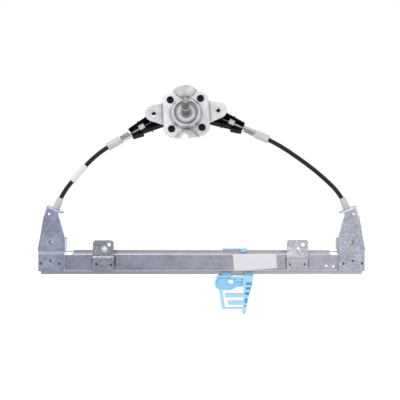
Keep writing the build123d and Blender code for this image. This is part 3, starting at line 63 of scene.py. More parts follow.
# Light
FLOOR_HEIGHT = -0.215
FLOOR_REACH = 6.0
FLOOR_GLOW = 0.75
WORLD_LIGHT = 0.45
LAMPS = [
    ("key", (-0.7, -1.3, 1.6), (1.0, 1.0), 20.0),
    ("fill", (1.4, -1.2, 0.3), (1.4, 1.0), 5.0),
    ("rim", (0.2, 0.9, 1.2), (1.2, 0.6), 6.0),
]
LAMP_TARGET = (0.0, 0.0, 0.07)

# Conduits: route points, as in the solids
CONDUIT_ROUTES = {
    "left": [(-0.1185, 0.0062, 0.1496), (-0.1362, 0.0040, 0.1391), (-0.1560, 0.0040, 0.1225),
             (-0.1775, 0.0095, 0.0995), (-0.1968, 0.0164, 0.0767), (-0.2036, 0.0164, 0.0601)],
    "right": [(0.0809, 0.0082, 0.1589), (0.1032, 0.0060, 0.1486), (0.1370, 0.0050, 0.1260),
              (0.1660, 0.0090, 0.1045), (0.1968, 0.0164, 0.0767), (0.2036, 0.0164, 0.0601)],
}
CONDUIT_RADIUS = 3.1 * MM
RIB_DEPTH = 0.14 * MM
RIB_PITCH = 4.2 * MM
RIB_STARTS = 3
TUBE_SIDES = 24
TUBE_STEP = 0.45 * MM
ROUTE_RESOLUTION = 64

# Tension springs
SPRING_RADIUS = 5.1 * MM
SPRING_WIRE = 1.2 * MM
SPRING_PITCH = 2.4 * MM
SPRING_LENGTHS = {"left": 14.6 * MM, "right": 16.6 * MM}
SPRING_STEPS = 28
SPRING_SIDES = 10

# Contact shadows: how far they reach
CREASE_REACH = 1.6 * MM
COVER_REACH = 6.0 * MM

# Places on the metal where painted light and shade change its tone; lines are (axis, middle, width, factor)
# Painted shade: the right tab is darker below this height, with a darker line along it
TAB_SHADE_LINE = -12.6 * MM
TAB_SHADE_LINE_WIDTH = 1.1 * MM
# Painted shade: the rail is darker towards its left end across this span
RAIL_SHADE = (-160 * MM, 170 * MM)
# Painted light: the rail's lips take a lighter tone of their own across these depths
LIP_LIGHT_DEPTHS = (5.0 * MM, 11.0 * MM)
# Painted shade lines along the rail's lower and upper edges
RAIL_SHADING_LINES = [("Z", -31.9 * MM, 1.5 * MM, 0.5), ("Z", -5.0 * MM, 0.8 * MM, 0.8)]
# Painted shade: dark marks beside the tabs for narrow slits that are not cut
RAIL_SLOT_SHADES = [(x * MM, z * MM, width * MM, height * MM) for x, z, width, height in (
    (-152.1, -17.0, 2.2, 5.6), (-120.3, -17.1, 1.8, 13.9),
    (118.1, -19.9, 1.4, 13.9), (149.3, -20.5, 2.0, 9.8))]
# Painted highlight: the span of height over which the end brackets' bends are painted bright
BRACKET_CROWN_HIGHLIGHT = (45 * MM, 47 * MM)
# Place of the end brackets' inner flanges, where a painted highlight line and a painted shade line run
FLANGE_PLACE = 189.9 * MM
# Painted shade: the cover's left ear is tinted darker across this span
EAR_SHADE = (-58 * MM, -50 * MM)
LEFT_EAR_SHADE_TINT = (0.76, 0.75, 0.78)

# Textures: scales are in cells for each metre
SPANGLE_COARSE, SPANGLE_FINE = 260.0, 520.0
ROLLING = (14.0, 260.0, 260.0)
TOOL_RINGS = 130.0
STRANDS = 420.0
MOULD_GRAIN = 650.0
PAPER_FIBRE = (500.0, 900.0, 300.0)
# Painted shade: depths over which the slider is painted a deeper blue in its pockets
SLIDER_SHADE_DEPTHS = (7.2 * MM, 20.0 * MM)

# Screw threads of the inserts
THREAD_MAJOR = 3.0 * MM
THREAD_DEPTH = 0.54 * MM
THREAD_PITCH = 1.0 * MM
THREAD_CLEAR = 0.02 * MM
THREAD_STEPS = 28
THREAD_FOOT = 0.86
THREAD_CREST = 0.22
INSERT_MOUTH = 0.4 * MM

# Labels: corners of the one on the rail, and the rail's face below it, in millimetres
RAIL_LABEL = [(43.6, -6.95), (104.6, -6.95), (106.1, -27.1), (45.3, -31.5)]
RAIL_WEB = (-29.4, -9.1)
RAIL_FRONT = 2.7
RAIL_BEND = 2.2
LABEL_THICK = 0.12
LABEL_GRID = 24

# The one round the left conduit: its part of the conduit's length, then its size
WRAP_SPAN = (0.43, 0.665)
WRAP_RADIUS = 3.75 * MM
WRAP_SIDES = 32
WRAP_TAB = 1.1 * MM
WRAP_TAB_ANGLE = 2.2
WRAP_TAB_SHARPNESS = 8


# Materials


class Nodes:
    """Short way to build one material's node tree."""

    def __init__(self, name):
        self.material = bpy.data.materials.new(name)
        self.material.use_nodes = True
        self.tree = self.material.node_tree
        self.shader = self.tree.nodes["Principled BSDF"]
        self.place = self.add("ShaderNodeTexCoord").outputs["Object"]

    def add(self, kind, **values):
        node = self.tree.nodes.new(kind)
        for key, value in values.items():
            setattr(node, key, value)
        return node

    def link(self, source, target):
        self.tree.links.new(source, target)

    def stretch(self, scale):
        """Object coordinates multiplied by a scale for each axis."""
        node = self.add("ShaderNodeMapping")
        node.inputs["Scale"].default_value = scale
        self.link(self.place, node.inputs["Vector"])
        return node.outputs["Vector"]

    def noise(self, scale, detail=3.0, rough=0.55, place=None):
        node = self.add("ShaderNodeTexNoise")
        node.inputs["Scale"].default_value = scale
        node.inputs["Detail"].default_value = detail
        node.inputs["Roughness"].default_value = rough
        self.link(place or self.place, node.inputs["Vector"])
        return node.outputs["Fac"]

    def cells(self, scale):
        """Random grey value for each crystal-like cell."""
        node = self.add("ShaderNodeTexVoronoi")
        node.inputs["Scale"].default_value = scale
        self.link(self.place, node.inputs["Vector"])
        split = self.add("ShaderNodeSeparateColor")
        self.link(node.outputs["Color"], split.inputs["Color"])
        return split.outputs["Red"]

    def ramp(self, value, stops):
        node = self.add("ShaderNodeValToRGB")
        ramp = node.color_ramp
        while len(ramp.elements) < len(stops):
            ramp.elements.new(0.5)
        for element, (position, colour) in zip(ramp.elements, stops):
            element.position = position
            element.color = (*colour[:3], 1.0)
        self.link(value, node.inputs["Fac"])
        return node.outputs["Color"]

    def mix(self, amount, first, second, mode="MIX"):
        """Mix two colours; amount is a number or a socket."""
        node = self.add("ShaderNodeMix", data_type="RGBA", blend_type=mode)
        if isinstance(amount, float):
            node.inputs["Factor"].default_value = amount
        else:
            self.link(amount, node.inputs["Factor"])
        colours = [s for s in node.inputs if s.type == "RGBA"]
        for socket, colour in zip(colours, (first, second)):
            if isinstance(colour, tuple):
                socket.default_value = (*colour[:3], 1.0)
            else:
                self.link(colour, socket)
        return [s for s in node.outputs if s.type == "RGBA"][0]

    def tinted(self, amount, tint, colour):
        """Colour multiplied by a tint, fading to the plain colour as amount goes to one."""
        return self.mix(1.0, colour, self.mix(amount, tint, (1.0, 1.0, 1.0)), mode="MULTIPLY")

    def calc(self, operation, *values):
        """One math node; each value is a number or a socket."""
        node = self.add("ShaderNodeMath", operation=operation)
        for socket, value in zip(node.inputs, values):
            if isinstance(value, float):
                socket.default_value = value
            else:
                self.link(value, socket)
        return node.outputs["Value"]

    def scaled(self, value, factor, shift=0.0):
        return self.calc("MULTIPLY_ADD", value, factor, shift)

    def sum(self, first, second):
        return self.calc("ADD", first, second)

    def product(self, first, second):
        return self.calc("MULTIPLY", first, second)

    def waves(self, direction, scale, distortion=0.0):
        """Bands of light and dark across a direction."""
        node = self.add("ShaderNodeTexWave", wave_type="BANDS", bands_direction=direction)
        node.inputs["Scale"].default_value = scale
        node.inputs["Distortion"].default_value = distortion
        self.link(self.place, node.inputs["Vector"])
        return node.outputs["Fac"]

    def paint(self, tone):
        self.link(tone, self.shader.inputs["Base Color"])

    def roughen(self, value):
        self.link(value, self.shader.inputs["Roughness"])

    def bump(self, height, distance):
        node = self.add("ShaderNodeBump")
        node.inputs["Distance"].default_value = distance
        self.link(height, node.inputs["Height"])
        self.link(node.outputs["Normal"], self.shader.inputs["Normal"])

    def axis(self, name):
        """One of the object coordinates, in metres."""
        node = self.add("ShaderNodeSeparateXYZ")
        self.link(self.place, node.inputs["Vector"])
        return node.outputs[name]

    def span(self, value, low, high):
        """Map a range of values to 0 to 1."""
        node = self.add("ShaderNodeMapRange")
        node.inputs["From Min"].default_value = low
        node.inputs["From Max"].default_value = high
        self.link(value, node.inputs["Value"])
        return node.outputs["Result"]

    def crease_shade(self, distance, low=0.35, high=0.85):
        """Mask for painted shade: one on open faces, falling to zero in corners and close beside other pieces."""
        node = self.add("ShaderNodeAmbientOcclusion", samples=8)
        node.inputs["Distance"].default_value = distance
        return self.span(node.outputs["AO"], low, high)

    def fold(self):
        """One where the surface slants between the front and an edge, zero on both."""
        split = self.add("ShaderNodeSeparateXYZ")
        self.link(self.add("ShaderNodeTexCoord").outputs["Normal"], split.inputs["Vector"])
        slant = self.calc("PINGPONG", self.calc("POWER", split.outputs["Y"], 2.0), 0.5)
        return self.scaled(slant, 2.0)

    def band(self, axis, middle, width):
        """One along a line at a place on an axis, zero beyond its width."""
        return self.calc("COMPARE", self.axis(axis), middle, width / 2)

    def with_shading_lines(self, tone, colour, lines):
        """Tone with painted highlight and shade lines (axis, middle, width, factor), lighter or darker than the
        colour.
        """
        for axis, middle, width, factor in lines:
            tone = self.mix(self.scaled(self.band(axis, middle, width), 0.8), tone, tone_and_shade(colour, factor))
        return tone

    def set(self, **values):
        for key, value in values.items():
            self.shader.inputs[key.replace("_", " ")].default_value = value


# Colour scaled by a factor: the texture's own lighter and darker tones, and also painted shade and painted
# highlights
def tone_and_shade(colour, factor):
    return tuple(min(1.0, c * factor) for c in colour)


def galvanised(name, colour, streak=0.2, spangle=0.22, left_end_shade=None, lip_light_tone=None, fold_shading=None,
               crown_highlight=None, below=None, lines=(), slot_shades=()):
    """Zinc-coated pressed steel: faint spangle, clouding and rolling streaks, with painted light and shade.

    left_end_shade paints shade on the left end of the rail, lip_light_tone is a lighter tone painted on its lips
    as painted light, fold_shading paints bends lighter or darker as painted highlight and shade, crown is the span
    of height over which bends are painted bright as a highlight, and below paints shade on what lies under a
    height. lines are painted highlight and shade lines along edges (axis, middle, width, factor), and slots are
    painted shade marks for narrow slits (x, z, width, height).
    """
    n = Nodes(name)
    crystals = n.cells(SPANGLE_COARSE if spangle < 0.3 else SPANGLE_FINE)
    cloud = n.noise(45.0, 4.0, 0.6)
    streaks = n.noise(1.0, 3.0, 0.6, n.stretch(ROLLING))
    blend = n.sum(n.scaled(crystals, spangle, 0.11 - spangle / 2), n.scaled(cloud, 0.85))
    blend = n.sum(blend, n.scaled(streaks, streak, -0.28))
    tone = n.ramp(blend, [(0.22, tone_and_shade(colour, 0.68)), (0.48, colour), (0.80, tone_and_shade(colour, 1.22))])
    # Painted light: the lips get a lighter tone of their own
    if lip_light_tone:
        tone = n.mix(n.span(n.axis("Y"), *LIP_LIGHT_DEPTHS), tone, lip_light_tone)
    # Painted shade: the rail darker towards its left end
    if left_end_shade:
        tone = n.tinted(n.span(n.axis("X"), *RAIL_SHADE), left_end_shade, tone)
    # Painted highlight and shade on bends: lighter where the factor is above one, darker where it is below
    if fold_shading:
        tone = n.mix(n.scaled(n.fold(), 0.6), tone, tone_and_shade(colour, fold_shading))
    # Painted highlight on bends at the top of the end brackets
    if crown_highlight:
        high = n.span(n.axis("Z"), *crown_highlight)
        tone = n.mix(n.product(n.fold(), high), tone, tone_and_shade(colour, 2.4))
    # Painted highlight and shade lines along edges
    tone = n.with_shading_lines(tone, colour, lines)
    # Painted shade: dark marks for narrow slits that are not cut
    for x, z, width, height in slot_shades:
        slot_shade = n.product(n.band("X", x, width), n.band("Z", z, height))
        tone = n.mix(n.scaled(slot_shade, 0.9), tone, tone_and_shade(colour, 0.10))
    # Painted shade: darker under a height, with a darker line along it
    if below:
        tone = n.mix(n.scaled(n.span(n.axis("Z"), below + MM, below - MM), 0.5), tone, tone_and_shade(colour, 0.6))
        tone = n.mix(n.scaled(n.band("Z", below, TAB_SHADE_LINE_WIDTH), 0.6), tone, tone_and_shade(colour, 0.35))
    # Painted shade in corners, creases and beside other pieces
    n.paint(n.mix(n.crease_shade(CREASE_REACH), tone_and_shade(colour, 0.30), tone))
    n.roughen(n.scaled(cloud, 0.30, 0.26))
    n.set(Metallic=0.45)
    n.bump(n.sum(n.noise(900.0, 2.0), n.scaled(streaks, 1.5)), 0.06 * MM)
    return n.material


def cast_silver(name, colour):
    """Satin die casting: fine grain and soft clouding, with painted shade: flat and hollow faces a little darker
    than the edges, and the left ear a little darker.
    """
    n = Nodes(name)
    cloud = n.noise(60.0, 5.0, 0.62)
    # Painted shade: flat and hollow faces mixed a little darker than the edges
    edge = n.span(n.add("ShaderNodeNewGeometry").outputs["Pointiness"], 0.49, 0.54)
    tone = n.ramp(cloud, [(0.25, tone_and_shade(colour, 0.80)), (0.60, colour), (0.85, tone_and_shade(colour, 1.08))])
    tone = n.mix(edge, n.mix(0.35, tone, tone_and_shade(colour, 0.72)), tone)
    # Painted shade: the left ear tinted darker
    tone = n.tinted(n.span(n.axis("X"), *EAR_SHADE), LEFT_EAR_SHADE_TINT, tone)
    # Painted shade in the well, in corners and beside other pieces
    n.paint(n.mix(n.crease_shade(COVER_REACH, 0.30, 0.97), tone_and_shade(colour, 0.36), tone))
    n.roughen(n.scaled(cloud, 0.35, 0.16))
    n.set(Metallic=0.45)
    n.bump(n.sum(n.noise(700.0, 3.0), n.scaled(n.noise(140.0, 2.0), 2.0)), 0.08 * MM)
    return n.material


def turned_steel(name, colour, roughness, crease_shaded=False):
    """Machined steel with fine tool rings across the spindle."""
    n = Nodes(name)
    rings = n.waves("Y", TOOL_RINGS, distortion=1.2)
    cloud = n.noise(220.0, 4.0)
    tone = n.ramp(n.sum(n.scaled(rings, 0.35), n.scaled(cloud, 0.6)),
                  [(0.25, tone_and_shade(colour, 0.72)), (0.55, colour), (0.85, tone_and_shade(colour, 1.25))])
    # Painted shade in corners, creases and beside other pieces
    if crease_shaded:
        tone = n.mix(n.crease_shade(CREASE_REACH, 0.4, 0.95), tone_and_shade(colour, 0.10), tone)
    n.paint(tone)
    n.roughen(n.scaled(cloud, 0.25, roughness - 0.1))
    n.set(Metallic=0.85)
    n.bump(rings, 0.05 * MM)
    return n.material


def moulded(name, colour, roughness, specular=0.5, contrast=0.25):
    """Injection-moulded plastic: slight flow clouding over a fine grain."""
    n = Nodes(name)
    cloud = n.noise(80.0, 4.0, 0.6)
    n.paint(n.ramp(cloud, [(0.25, tone_and_shade(colour, 1.0 - contrast)), (0.55, colour),
                           (0.85, tone_and_shade(colour, 1.0 + contrast))]))
    n.roughen(n.scaled(cloud, 0.3, roughness - 0.15))
    n.set(Specular_IOR_Level=specular)
    n.bump(n.noise(MOULD_GRAIN, 2.0), 0.08 * MM)
    return n.material


def translucent_blue(name):
    """Light blue translucent moulding, painted a deeper blue in its pockets between the front and the back, as
    painted shade.
    """
    n = Nodes(name)
    depth = n.span(n.axis("Y"), *SLIDER_SHADE_DEPTHS)
    cloud = n.noise(70.0, 3.0)
    # Painted shade: deeper blue at the depths of the pockets, with random clouding
    shade = n.sum(depth, n.scaled(cloud, 0.35, -0.18))
    n.paint(n.ramp(shade, [(0.0, (0.47, 0.80, 1.0)), (0.28, (0.34, 0.70, 1.0)), (0.55, (0.38, 0.75, 1.0)),
                           (0.80, (0.56, 0.86, 1.0))]))
    n.roughen(n.scaled(cloud, 0.2, 0.18))
    n.set(Subsurface_Weight=0.15, Subsurface_Scale=3 * MM, Subsurface_Radius=(0.6, 0.9, 1.0))
    n.bump(n.noise(420.0, 2.0), 0.05 * MM)
    return n.material


def stranded(name, colour):
    """Twisted wire rope seen from a distance."""
    n = Nodes(name)
    strands = n.waves("DIAGONAL", STRANDS)
    n.paint(n.ramp(strands, [(0.1, tone_and_shade(colour, 0.45)), (0.9, tone_and_shade(colour, 1.2))]))
    n.set(Metallic=0.8, Roughness=0.38)
    n.bump(strands, 0.1 * MM)
    return n.material


def paper(name, colour):
    """Matt label paper with faint fibres."""
    n = Nodes(name)
    fibre = n.noise(1.0, 4.0, 0.7, n.stretch(PAPER_FIBRE))
    n.paint(n.ramp(fibre, [(0.3, tone_and_shade(colour, 0.95)), (0.7, colour)]))
    n.set(Roughness=0.6)
    n.bump(fibre, 0.03 * MM)
    return n.material


def make_materials():
    """Every finish by name."""
    return {
        # Rail with painted light and shade: left end darker, lips lighter, bends brighter, shade lines along its
        # edges and dark slit marks
        "rail": galvanised("rail_zinc", (0.342, 0.345, 0.405), streak=0.5, left_end_shade=(0.60, 0.64, 0.69),
                           fold_shading=2.6, lip_light_tone=(0.53, 0.51, 0.53), lines=RAIL_SHADING_LINES,
                           slot_shades=RAIL_SLOT_SHADES),
        # Shaded and lit copies of one zinc: the left end bracket painted darker as shade, the right one lighter
        "bracket_shaded": galvanised("bracket_zinc_shaded", (0.29, 0.315, 0.43), fold_shading=0.3,
                                   crown_highlight=BRACKET_CROWN_HIGHLIGHT, lines=[("X", -FLANGE_PLACE, 2.4 * MM, 2.4)]),
        "bracket": galvanised("bracket_zinc", (0.425, 0.445, 0.53), spangle=0.4, fold_shading=0.6,
                              crown_highlight=BRACKET_CROWN_HIGHLIGHT, lines=[("X", FLANGE_PLACE, 1.8 * MM, 0.4)]),
        # Shaded and lit copies of one zinc: the left tab painted darker as shade, the right one lighter
        "tab_left": galvanised("tab_zinc_left_shaded", (0.25, 0.26, 0.31), spangle=0.9, fold_shading=2.0),
        "tab_right": galvanised("tab_zinc_right", (0.55, 0.54, 0.60), spangle=0.5, below=TAB_SHADE_LINE),
        "bright": turned_steel("bright_plating", (0.72, 0.72, 0.75), 0.22),
        "rivet": turned_steel("rivet_plating", (0.62, 0.62, 0.66), 0.18, crease_shaded=True),
        "thread": turned_steel("thread_steel", (0.42, 0.42, 0.45), 0.30, crease_shaded=True),
        "cover": cast_silver("cover_casting", (0.64, 0.63, 0.66)),
        "spindle": turned_steel("spindle_steel", (0.30, 0.30, 0.31), 0.34),
        "bush": turned_steel("bush_metal", (0.38, 0.37, 0.38), 0.40, crease_shaded=True),
        "spring": turned_steel("spring_steel", (0.34, 0.34, 0.36), 0.34),
        "screws": moulded("black_screws", (0.007, 0.007, 0.009), 0.50, specular=0.12),
        "black": moulded("black_plastic", (0.008, 0.008, 0.009), 0.70, specular=0.05, contrast=0.7),
        "conduit": moulded("conduit_black", (0.012, 0.012, 0.014), 0.45, specular=0.2, contrast=0.4),
        "white": moulded("white_plastic", (0.64, 0.63, 0.68), 0.42, contrast=0.06),
        "blue": translucent_blue("blue_plastic"),
        "cable": stranded("cable_steel", (0.45, 0.45, 0.47)),
        "rail_label": paper("label_paper", (0.84, 0.81, 0.88)),
        "wrap_label": paper("wrap_paper", (0.92, 0.92, 0.95)),
    }


# Finish of every node that is shown as the solid that it is
NODE_FINISH = {
    "guide_rail": "rail", "slider": "blue", "drive_cover": "cover", "ear_inserts": "rivet",
    "cover_screws": "screws", "drum_housing": "black", "cable_drum": "white",
    "cable_turns_front": "cable", "cable_turns_rear": "cable", "crank_spindle": "spindle",
    "spindle_bush": "bush", "brake_hub": "spindle", "brake_spring": "spring",
    "retaining_ring": "bright", "slider_nipple_left": "bright", "slider_nipple_right": "bright",
    "end_bracket_left": "bracket_shaded", "end_bracket_right": "bracket",
    "mounting_bracket_left": "tab_left", "mounting_bracket_right": "tab_right",
    "tab_insert": "rivet", "pulley": "white", "pulley_rivet": "rivet", "end_ferrule": "white",
    "cable": "cable", "tensioner": "white", "spring_washer": "bright",
}
REPLACED = ("conduit", "tension_spring")


def finish_of(node):
    """Finish name of a node, with or without its side."""
    for key in (node, node.removesuffix("_left").removesuffix("_right")):
        if key in NODE_FINISH:
            return NODE_FINISH[key]
    return None


def paint_nodes(finishes):
    """Give every shown node its finish."""
    for node, shape in frame["nodes"].items():
        if node.startswith(REPLACED):
            continue
        for slot in shape.material_slots:
            slot.material = finishes[finish_of(node)]


# Pieces


def add_mesh(name, verts, faces, material, smooth=True):
    mesh = bpy.data.meshes.new(name)
    mesh.from_pydata([tuple(v) for v in verts], [], faces)
    mesh.validate()
    for face in mesh.polygons:
        face.use_smooth = smooth
    mesh.materials.append(material)
    piece = bpy.data.objects.new(name, mesh)
    bpy.context.scene.collection.objects.link(piece)
    return piece


def smooth_route(points):
    """Points along the smooth line of a given route, closely and evenly spaced."""
    curve = bpy.data.curves.new("route", "CURVE")
    curve.dimensions = "3D"
    curve.resolution_u = ROUTE_RESOLUTION
    spline = curve.splines.new("NURBS")
    spline.points.add(len(points) - 1)
    for point, place in zip(spline.points, points):
        point.co = (*place, 1.0)
    spline.use_endpoint_u = True
    spline.order_u = 3
    holder = bpy.data.objects.new("route", curve)
    mesh = bpy.data.meshes.new_from_object(holder)
    line = [v.co.copy() for v in mesh.vertices]
    bpy.data.meshes.remove(mesh)
    bpy.data.objects.remove(holder)
    bpy.data.curves.remove(curve)
    return spaced(line, TUBE_STEP)


def spaced(line, step):
    """The same line with its points a fixed step apart."""
    lengths = [0.0]
    for a, b in zip(line, line[1:]):
        lengths.append(lengths[-1] + (b - a).length)
    count = max(2, round(lengths[-1] / step))
    points = []
    index = 0
    for i in range(count + 1):
        target = lengths[-1] * i / count
        while index < len(line) - 2 and lengths[index + 1] < target:
            index += 1
        part = (target - lengths[index]) / max(1e-12, lengths[index + 1] - lengths[index])
        points.append(line[index].lerp(line[index + 1], min(1.0, part)))
    return points


def frames_along(line):
    """Square pair of directions at each point, carried along without twist."""
    pairs = []
    side = Vector((0, 1, 0))
    for i in range(len(line)):
        ahead = (line[min(i + 1, len(line) - 1)] - line[max(i - 1, 0)]).normalized()
        side = (side - ahead * side.dot(ahead)).normalized()
        pairs.append((side, ahead.cross(side)))
    return pairs


def tube_faces(count, sides):
    """Faces that join a row of rings of points, with a cap at each end."""
    faces = []
    for i in range(count - 1):
        for k in range(sides):
            a, b = i * sides + k, i * sides + (k + 1) % sides
            faces.append((a, b, b + sides, a + sides))
    faces.append(tuple(range(sides))[::-1])
    last = (count - 1) * sides
    faces.append(tuple(range(last, last + sides)))
    return faces


def sweep_rings(line, radius_at, sides):
    """Closed tube skin along a line; radius_at takes the distance along and the angle."""
    verts = []
    along = 0.0
    for i, (centre, (u, v)) in enumerate(zip(line, frames_along(line))):
        if i:
            along += (centre - line[i - 1]).length
        for k in range(sides):
            angle = 2 * math.pi * k / sides
            radius = radius_at(along, angle)
            verts.append(centre + (u * math.cos(angle) + v * math.sin(angle)) * radius)
    return verts, tube_faces(len(line), sides)


def make_conduit(side, finishes):
    """Conduit with the fine helical ribs of its sheath."""
    line = smooth_route(CONDUIT_ROUTES[side])

    def radius_at(along, angle):
        wave = math.cos(2 * math.pi * along / RIB_PITCH * RIB_STARTS + angle * RIB_STARTS)
        return CONDUIT_RADIUS - RIB_DEPTH * (0.5 - 0.5 * wave)

    verts, faces = sweep_rings(line, radius_at, TUBE_SIDES)
    piece = add_mesh("conduit_sheath_" + side, verts, faces, finishes["conduit"])
    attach(piece, "root")
    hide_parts("conduit_" + side)
    return line


def arm_direction(side):
    """Direction along an arm's cable line, away from the drive."""
    for joint in frame["joints"]:
        if joint["name"] == "tensioner_slide_" + side:
            return -Vector(joint["axis"]).normalized()


def box_middle(node):
    low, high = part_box(node)
    return (Vector(low) + Vector(high)) / 2


def make_spring(side, finishes):
    """Round-wire compression spring on the tensioner's stem."""
    away = arm_direction(side)
    length = SPRING_LENGTHS[side]
    start = box_middle("tension_spring_" + side) - away * length / 2
    across = away.cross(Vector((0, 1, 0))).normalized()
    other = away.cross(across)
    radius = SPRING_RADIUS - SPRING_WIRE / 2
    run = length - SPRING_WIRE
    turns = math.ceil(run / SPRING_PITCH)
    count = turns * SPRING_STEPS
    line = []
    for i in range(count + 1):
        share = i / count
        angle = 2 * math.pi * turns * share
        line.append(start + away * (SPRING_WIRE / 2 + run * share)
                    + (across * math.cos(angle) + other * math.sin(angle)) * radius)
    verts, faces = sweep_rings(line, lambda along, angle: SPRING_WIRE / 2, SPRING_SIDES)
    piece = add_mesh("wire_spring_" + side, verts, faces, finishes["spring"])
    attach(piece, "root")
    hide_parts("tension_spring_" + side)
    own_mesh(piece)


def make_thread(name, start, ahead, length, finishes):
    """Ridge of the screw thread in an insert's bore, from start along a direction."""
    across = ahead.cross(Vector((0, 0, 1))).normalized()
    other = ahead.cross(across)
    count = round((length - THREAD_PITCH) / THREAD_PITCH * THREAD_STEPS)
    foot, crest = THREAD_MAJOR - THREAD_CLEAR, THREAD_MAJOR - THREAD_DEPTH
    half = THREAD_PITCH / 2 * THREAD_FOOT
    flat = half * THREAD_CREST
    profile = [(foot, -half), (crest, -flat), (crest, flat), (foot, half)]
    verts = []
    for i in range(count + 1):
        angle = 2 * math.pi * i / THREAD_STEPS
        outward = across * math.cos(angle) + other * math.sin(angle)
        middle = start + ahead * (THREAD_PITCH / 2 + (length - THREAD_PITCH) * i / count)
        for radius, shift in profile:
            verts.append(middle + outward * radius + ahead * shift)
    faces = tube_faces(count + 1, len(profile))
    piece = add_mesh("thread_" + name, verts, faces, finishes["thread"], smooth=False)
    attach(piece, "root")


def make_threads(finishes):
    """Threads of the two tab inserts and the two ear inserts, where the record's mounts have them."""
    for mount in frame["record"]["mounts"]:
        place, out = Vector(mount["pos_m"]), Vector(mount["axis"]).normalized()
        if mount["kind"] == "threaded_hole":
            length = mount["dims"]["length_mm"] * MM
            make_thread(mount["name"], place - out * length / 2, out, length, finishes)
        elif mount["kind"] == "bolt_pattern":
            for side, flip in (("left", -1), ("right", 1)):
                low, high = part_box("tab_insert_" + side)
                half = Vector((flip * mount["dims"]["spacing_x_mm"] / 2 * MM, 0, 0))
                start = Vector((place.x, high[1] - INSERT_MOUTH, place.z)) + half
                length = high[1] - low[1] - 2 * INSERT_MOUTH
                make_thread("tab_" + side, start, Vector((0, -1, 0)), length, finishes)


def rail_front(z):
    """Depth of the rail's front face at a height, round its two bends, in millimetres."""
    past = max(RAIL_WEB[0] - z, z - RAIL_WEB[1], 0.0)
    return RAIL_FRONT + RAIL_BEND - math.sqrt(max(0.0, RAIL_BEND ** 2 - past ** 2))


def make_rail_label(finishes):
    """Bare paper label on the rail's web, laid over the bend above it."""
    verts, faces = [], []
    upper_left, upper_right, lower_right, lower_left = (Vector(corner) for corner in RAIL_LABEL)
    for lift in (LABEL_THICK, 0.0):
        for i in range(LABEL_GRID + 1):
            for j in range(LABEL_GRID + 1):
                u, v = i / LABEL_GRID, j / LABEL_GRID
                x, z = upper_left.lerp(upper_right, u).lerp(lower_left.lerp(lower_right, u), v)
                verts.append((x * MM, (rail_front(z) - lift) * MM, z * MM))
    row = LABEL_GRID + 1
    layer = row ** 2
    for i in range(LABEL_GRID):
        for j in range(LABEL_GRID):
            a = i * row + j
            quad = (a, a + row, a + row + 1, a + 1)
            faces.append(quad[::-1])
            faces.append(tuple(k + layer for k in quad))
    rim = [i * row for i in range(row)]
    rim += [LABEL_GRID * row + j for j in range(1, row)]
    rim += [i * row + LABEL_GRID for i in range(LABEL_GRID - 1, -1, -1)]
    rim += list(range(LABEL_GRID - 1, 0, -1))
    for a, b in zip(rim, rim[1:] + rim[:1]):
        faces.append((a, b, b + layer, a + layer))
    piece = add_mesh("rail_label", verts, faces, finishes["rail_label"])
    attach(piece, "root")


def make_wrap(line, finishes):
    """Bare paper wrap round the left conduit, pinched flat where its ends meet."""
    first, last = (round(share * (len(line) - 1)) for share in WRAP_SPAN)
    part = line[first:last + 1]

    def radius_at(along, angle):
        tab = max(0.0, math.cos(angle + WRAP_TAB_ANGLE)) ** WRAP_TAB_SHARPNESS
        return WRAP_RADIUS + tab * WRAP_TAB

    verts, faces = sweep_rings(part, radius_at, WRAP_SIDES)
    piece = add_mesh("conduit_label", verts, faces, finishes["wrap_label"])
    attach(piece, "root")


# Stage


def seen_or_mirrored(tree):
    """Socket that is one for rays from the camera, in reflections and through the object."""
    path = tree.nodes.new("ShaderNodeLightPath")
    value = path.outputs["Is Camera Ray"]
    for name in ("Is Glossy Ray", "Is Transmission Ray"):
        node = tree.nodes.new("ShaderNodeMath")
        node.operation = "MAXIMUM"
        tree.links.new(value, node.inputs[0])
        tree.links.new(path.outputs[name], node.inputs[1])
        value = node.outputs[0]
    return value


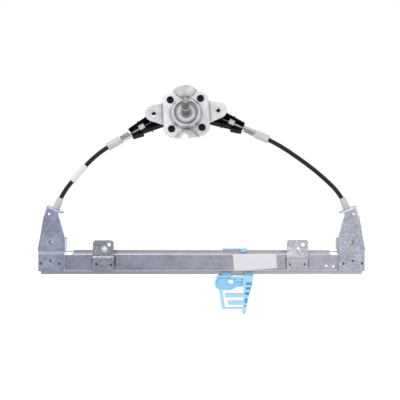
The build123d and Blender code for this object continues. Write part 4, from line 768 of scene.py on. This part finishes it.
def stage_material():
    """Pale floor, lifted to white where it is seen, with the object's shadow left on it."""
    n = Nodes("stage_white")
    n.shader.inputs["Base Color"].default_value = (0.85, 0.85, 0.85, 1)
    n.set(Roughness=0.9)
    glow = n.add("ShaderNodeEmission")
    glow.inputs["Strength"].default_value = FLOOR_GLOW
    both = n.add("ShaderNodeAddShader")
    pick = n.add("ShaderNodeMixShader")
    n.link(n.shader.outputs[0], both.inputs[0])
    n.link(glow.outputs[0], both.inputs[1])
    n.link(seen_or_mirrored(n.tree), pick.inputs[0])
    n.link(n.shader.outputs[0], pick.inputs[1])
    n.link(both.outputs[0], pick.inputs[2])
    n.link(pick.outputs[0], n.tree.nodes["Material Output"].inputs["Surface"])
    return n.material


def make_floor():
    corners = [(-1, -1), (1, -1), (1, 1), (-1, 1)]
    verts = [(x * FLOOR_REACH, y * FLOOR_REACH, FLOOR_HEIGHT) for x, y in corners]
    floor = add_mesh("floor", verts, [(0, 1, 2, 3)], stage_material(), smooth=False)


def make_world():
    """Even light from all round, and white behind the object."""
    world = bpy.data.worlds.new("studio")
    bpy.context.scene.world = world
    world.use_nodes = True
    tree = world.node_tree
    back = tree.nodes["Background"]
    back.inputs["Color"].default_value = (1, 1, 1, 1)
    strength = tree.nodes.new("ShaderNodeMapRange")
    strength.inputs["To Min"].default_value = WORLD_LIGHT
    strength.inputs["To Max"].default_value = 1.0
    tree.links.new(seen_or_mirrored(tree), strength.inputs["Value"])
    tree.links.new(strength.outputs["Result"], back.inputs["Strength"])


def make_lamps():
    """Soft lamps that all face the object."""
    for name, place, (width, height), power in LAMPS:
        data = bpy.data.lights.new(name, "AREA")
        data.shape = "RECTANGLE"
        data.size, data.size_y = width, height
        data.energy = power
        lamp = bpy.data.objects.new(name, data)
        lamp.location = place
        lamp.rotation_euler = (Vector(LAMP_TARGET) - Vector(place)).to_track_quat("-Z", "Y").to_euler()
        bpy.context.scene.collection.objects.link(lamp)


def make_camera():
    data = bpy.data.cameras.new("camera")
    data.sensor_width = SENSOR
    data.lens = SENSOR * -CAMERA_PLACE[1] / FRAME_WIDTH
    data.clip_start, data.clip_end = 0.05, 50.0
    camera = bpy.data.objects.new("camera", data)
    camera.location = CAMERA_PLACE
    camera.rotation_euler = (math.pi / 2, 0, 0)
    bpy.context.scene.collection.objects.link(camera)
    bpy.context.scene.camera = camera


# Build

bpy.context.scene.view_settings.view_transform = "Standard"
finishes = make_materials()
paint_nodes(finishes)
left_line = make_conduit("left", finishes)
make_conduit("right", finishes)
for side in ("left", "right"):
    make_spring(side, finishes)
make_threads(finishes)
make_rail_label(finishes)
make_wrap(left_line, finishes)
make_floor()
make_world()
make_lamps()
make_camera()
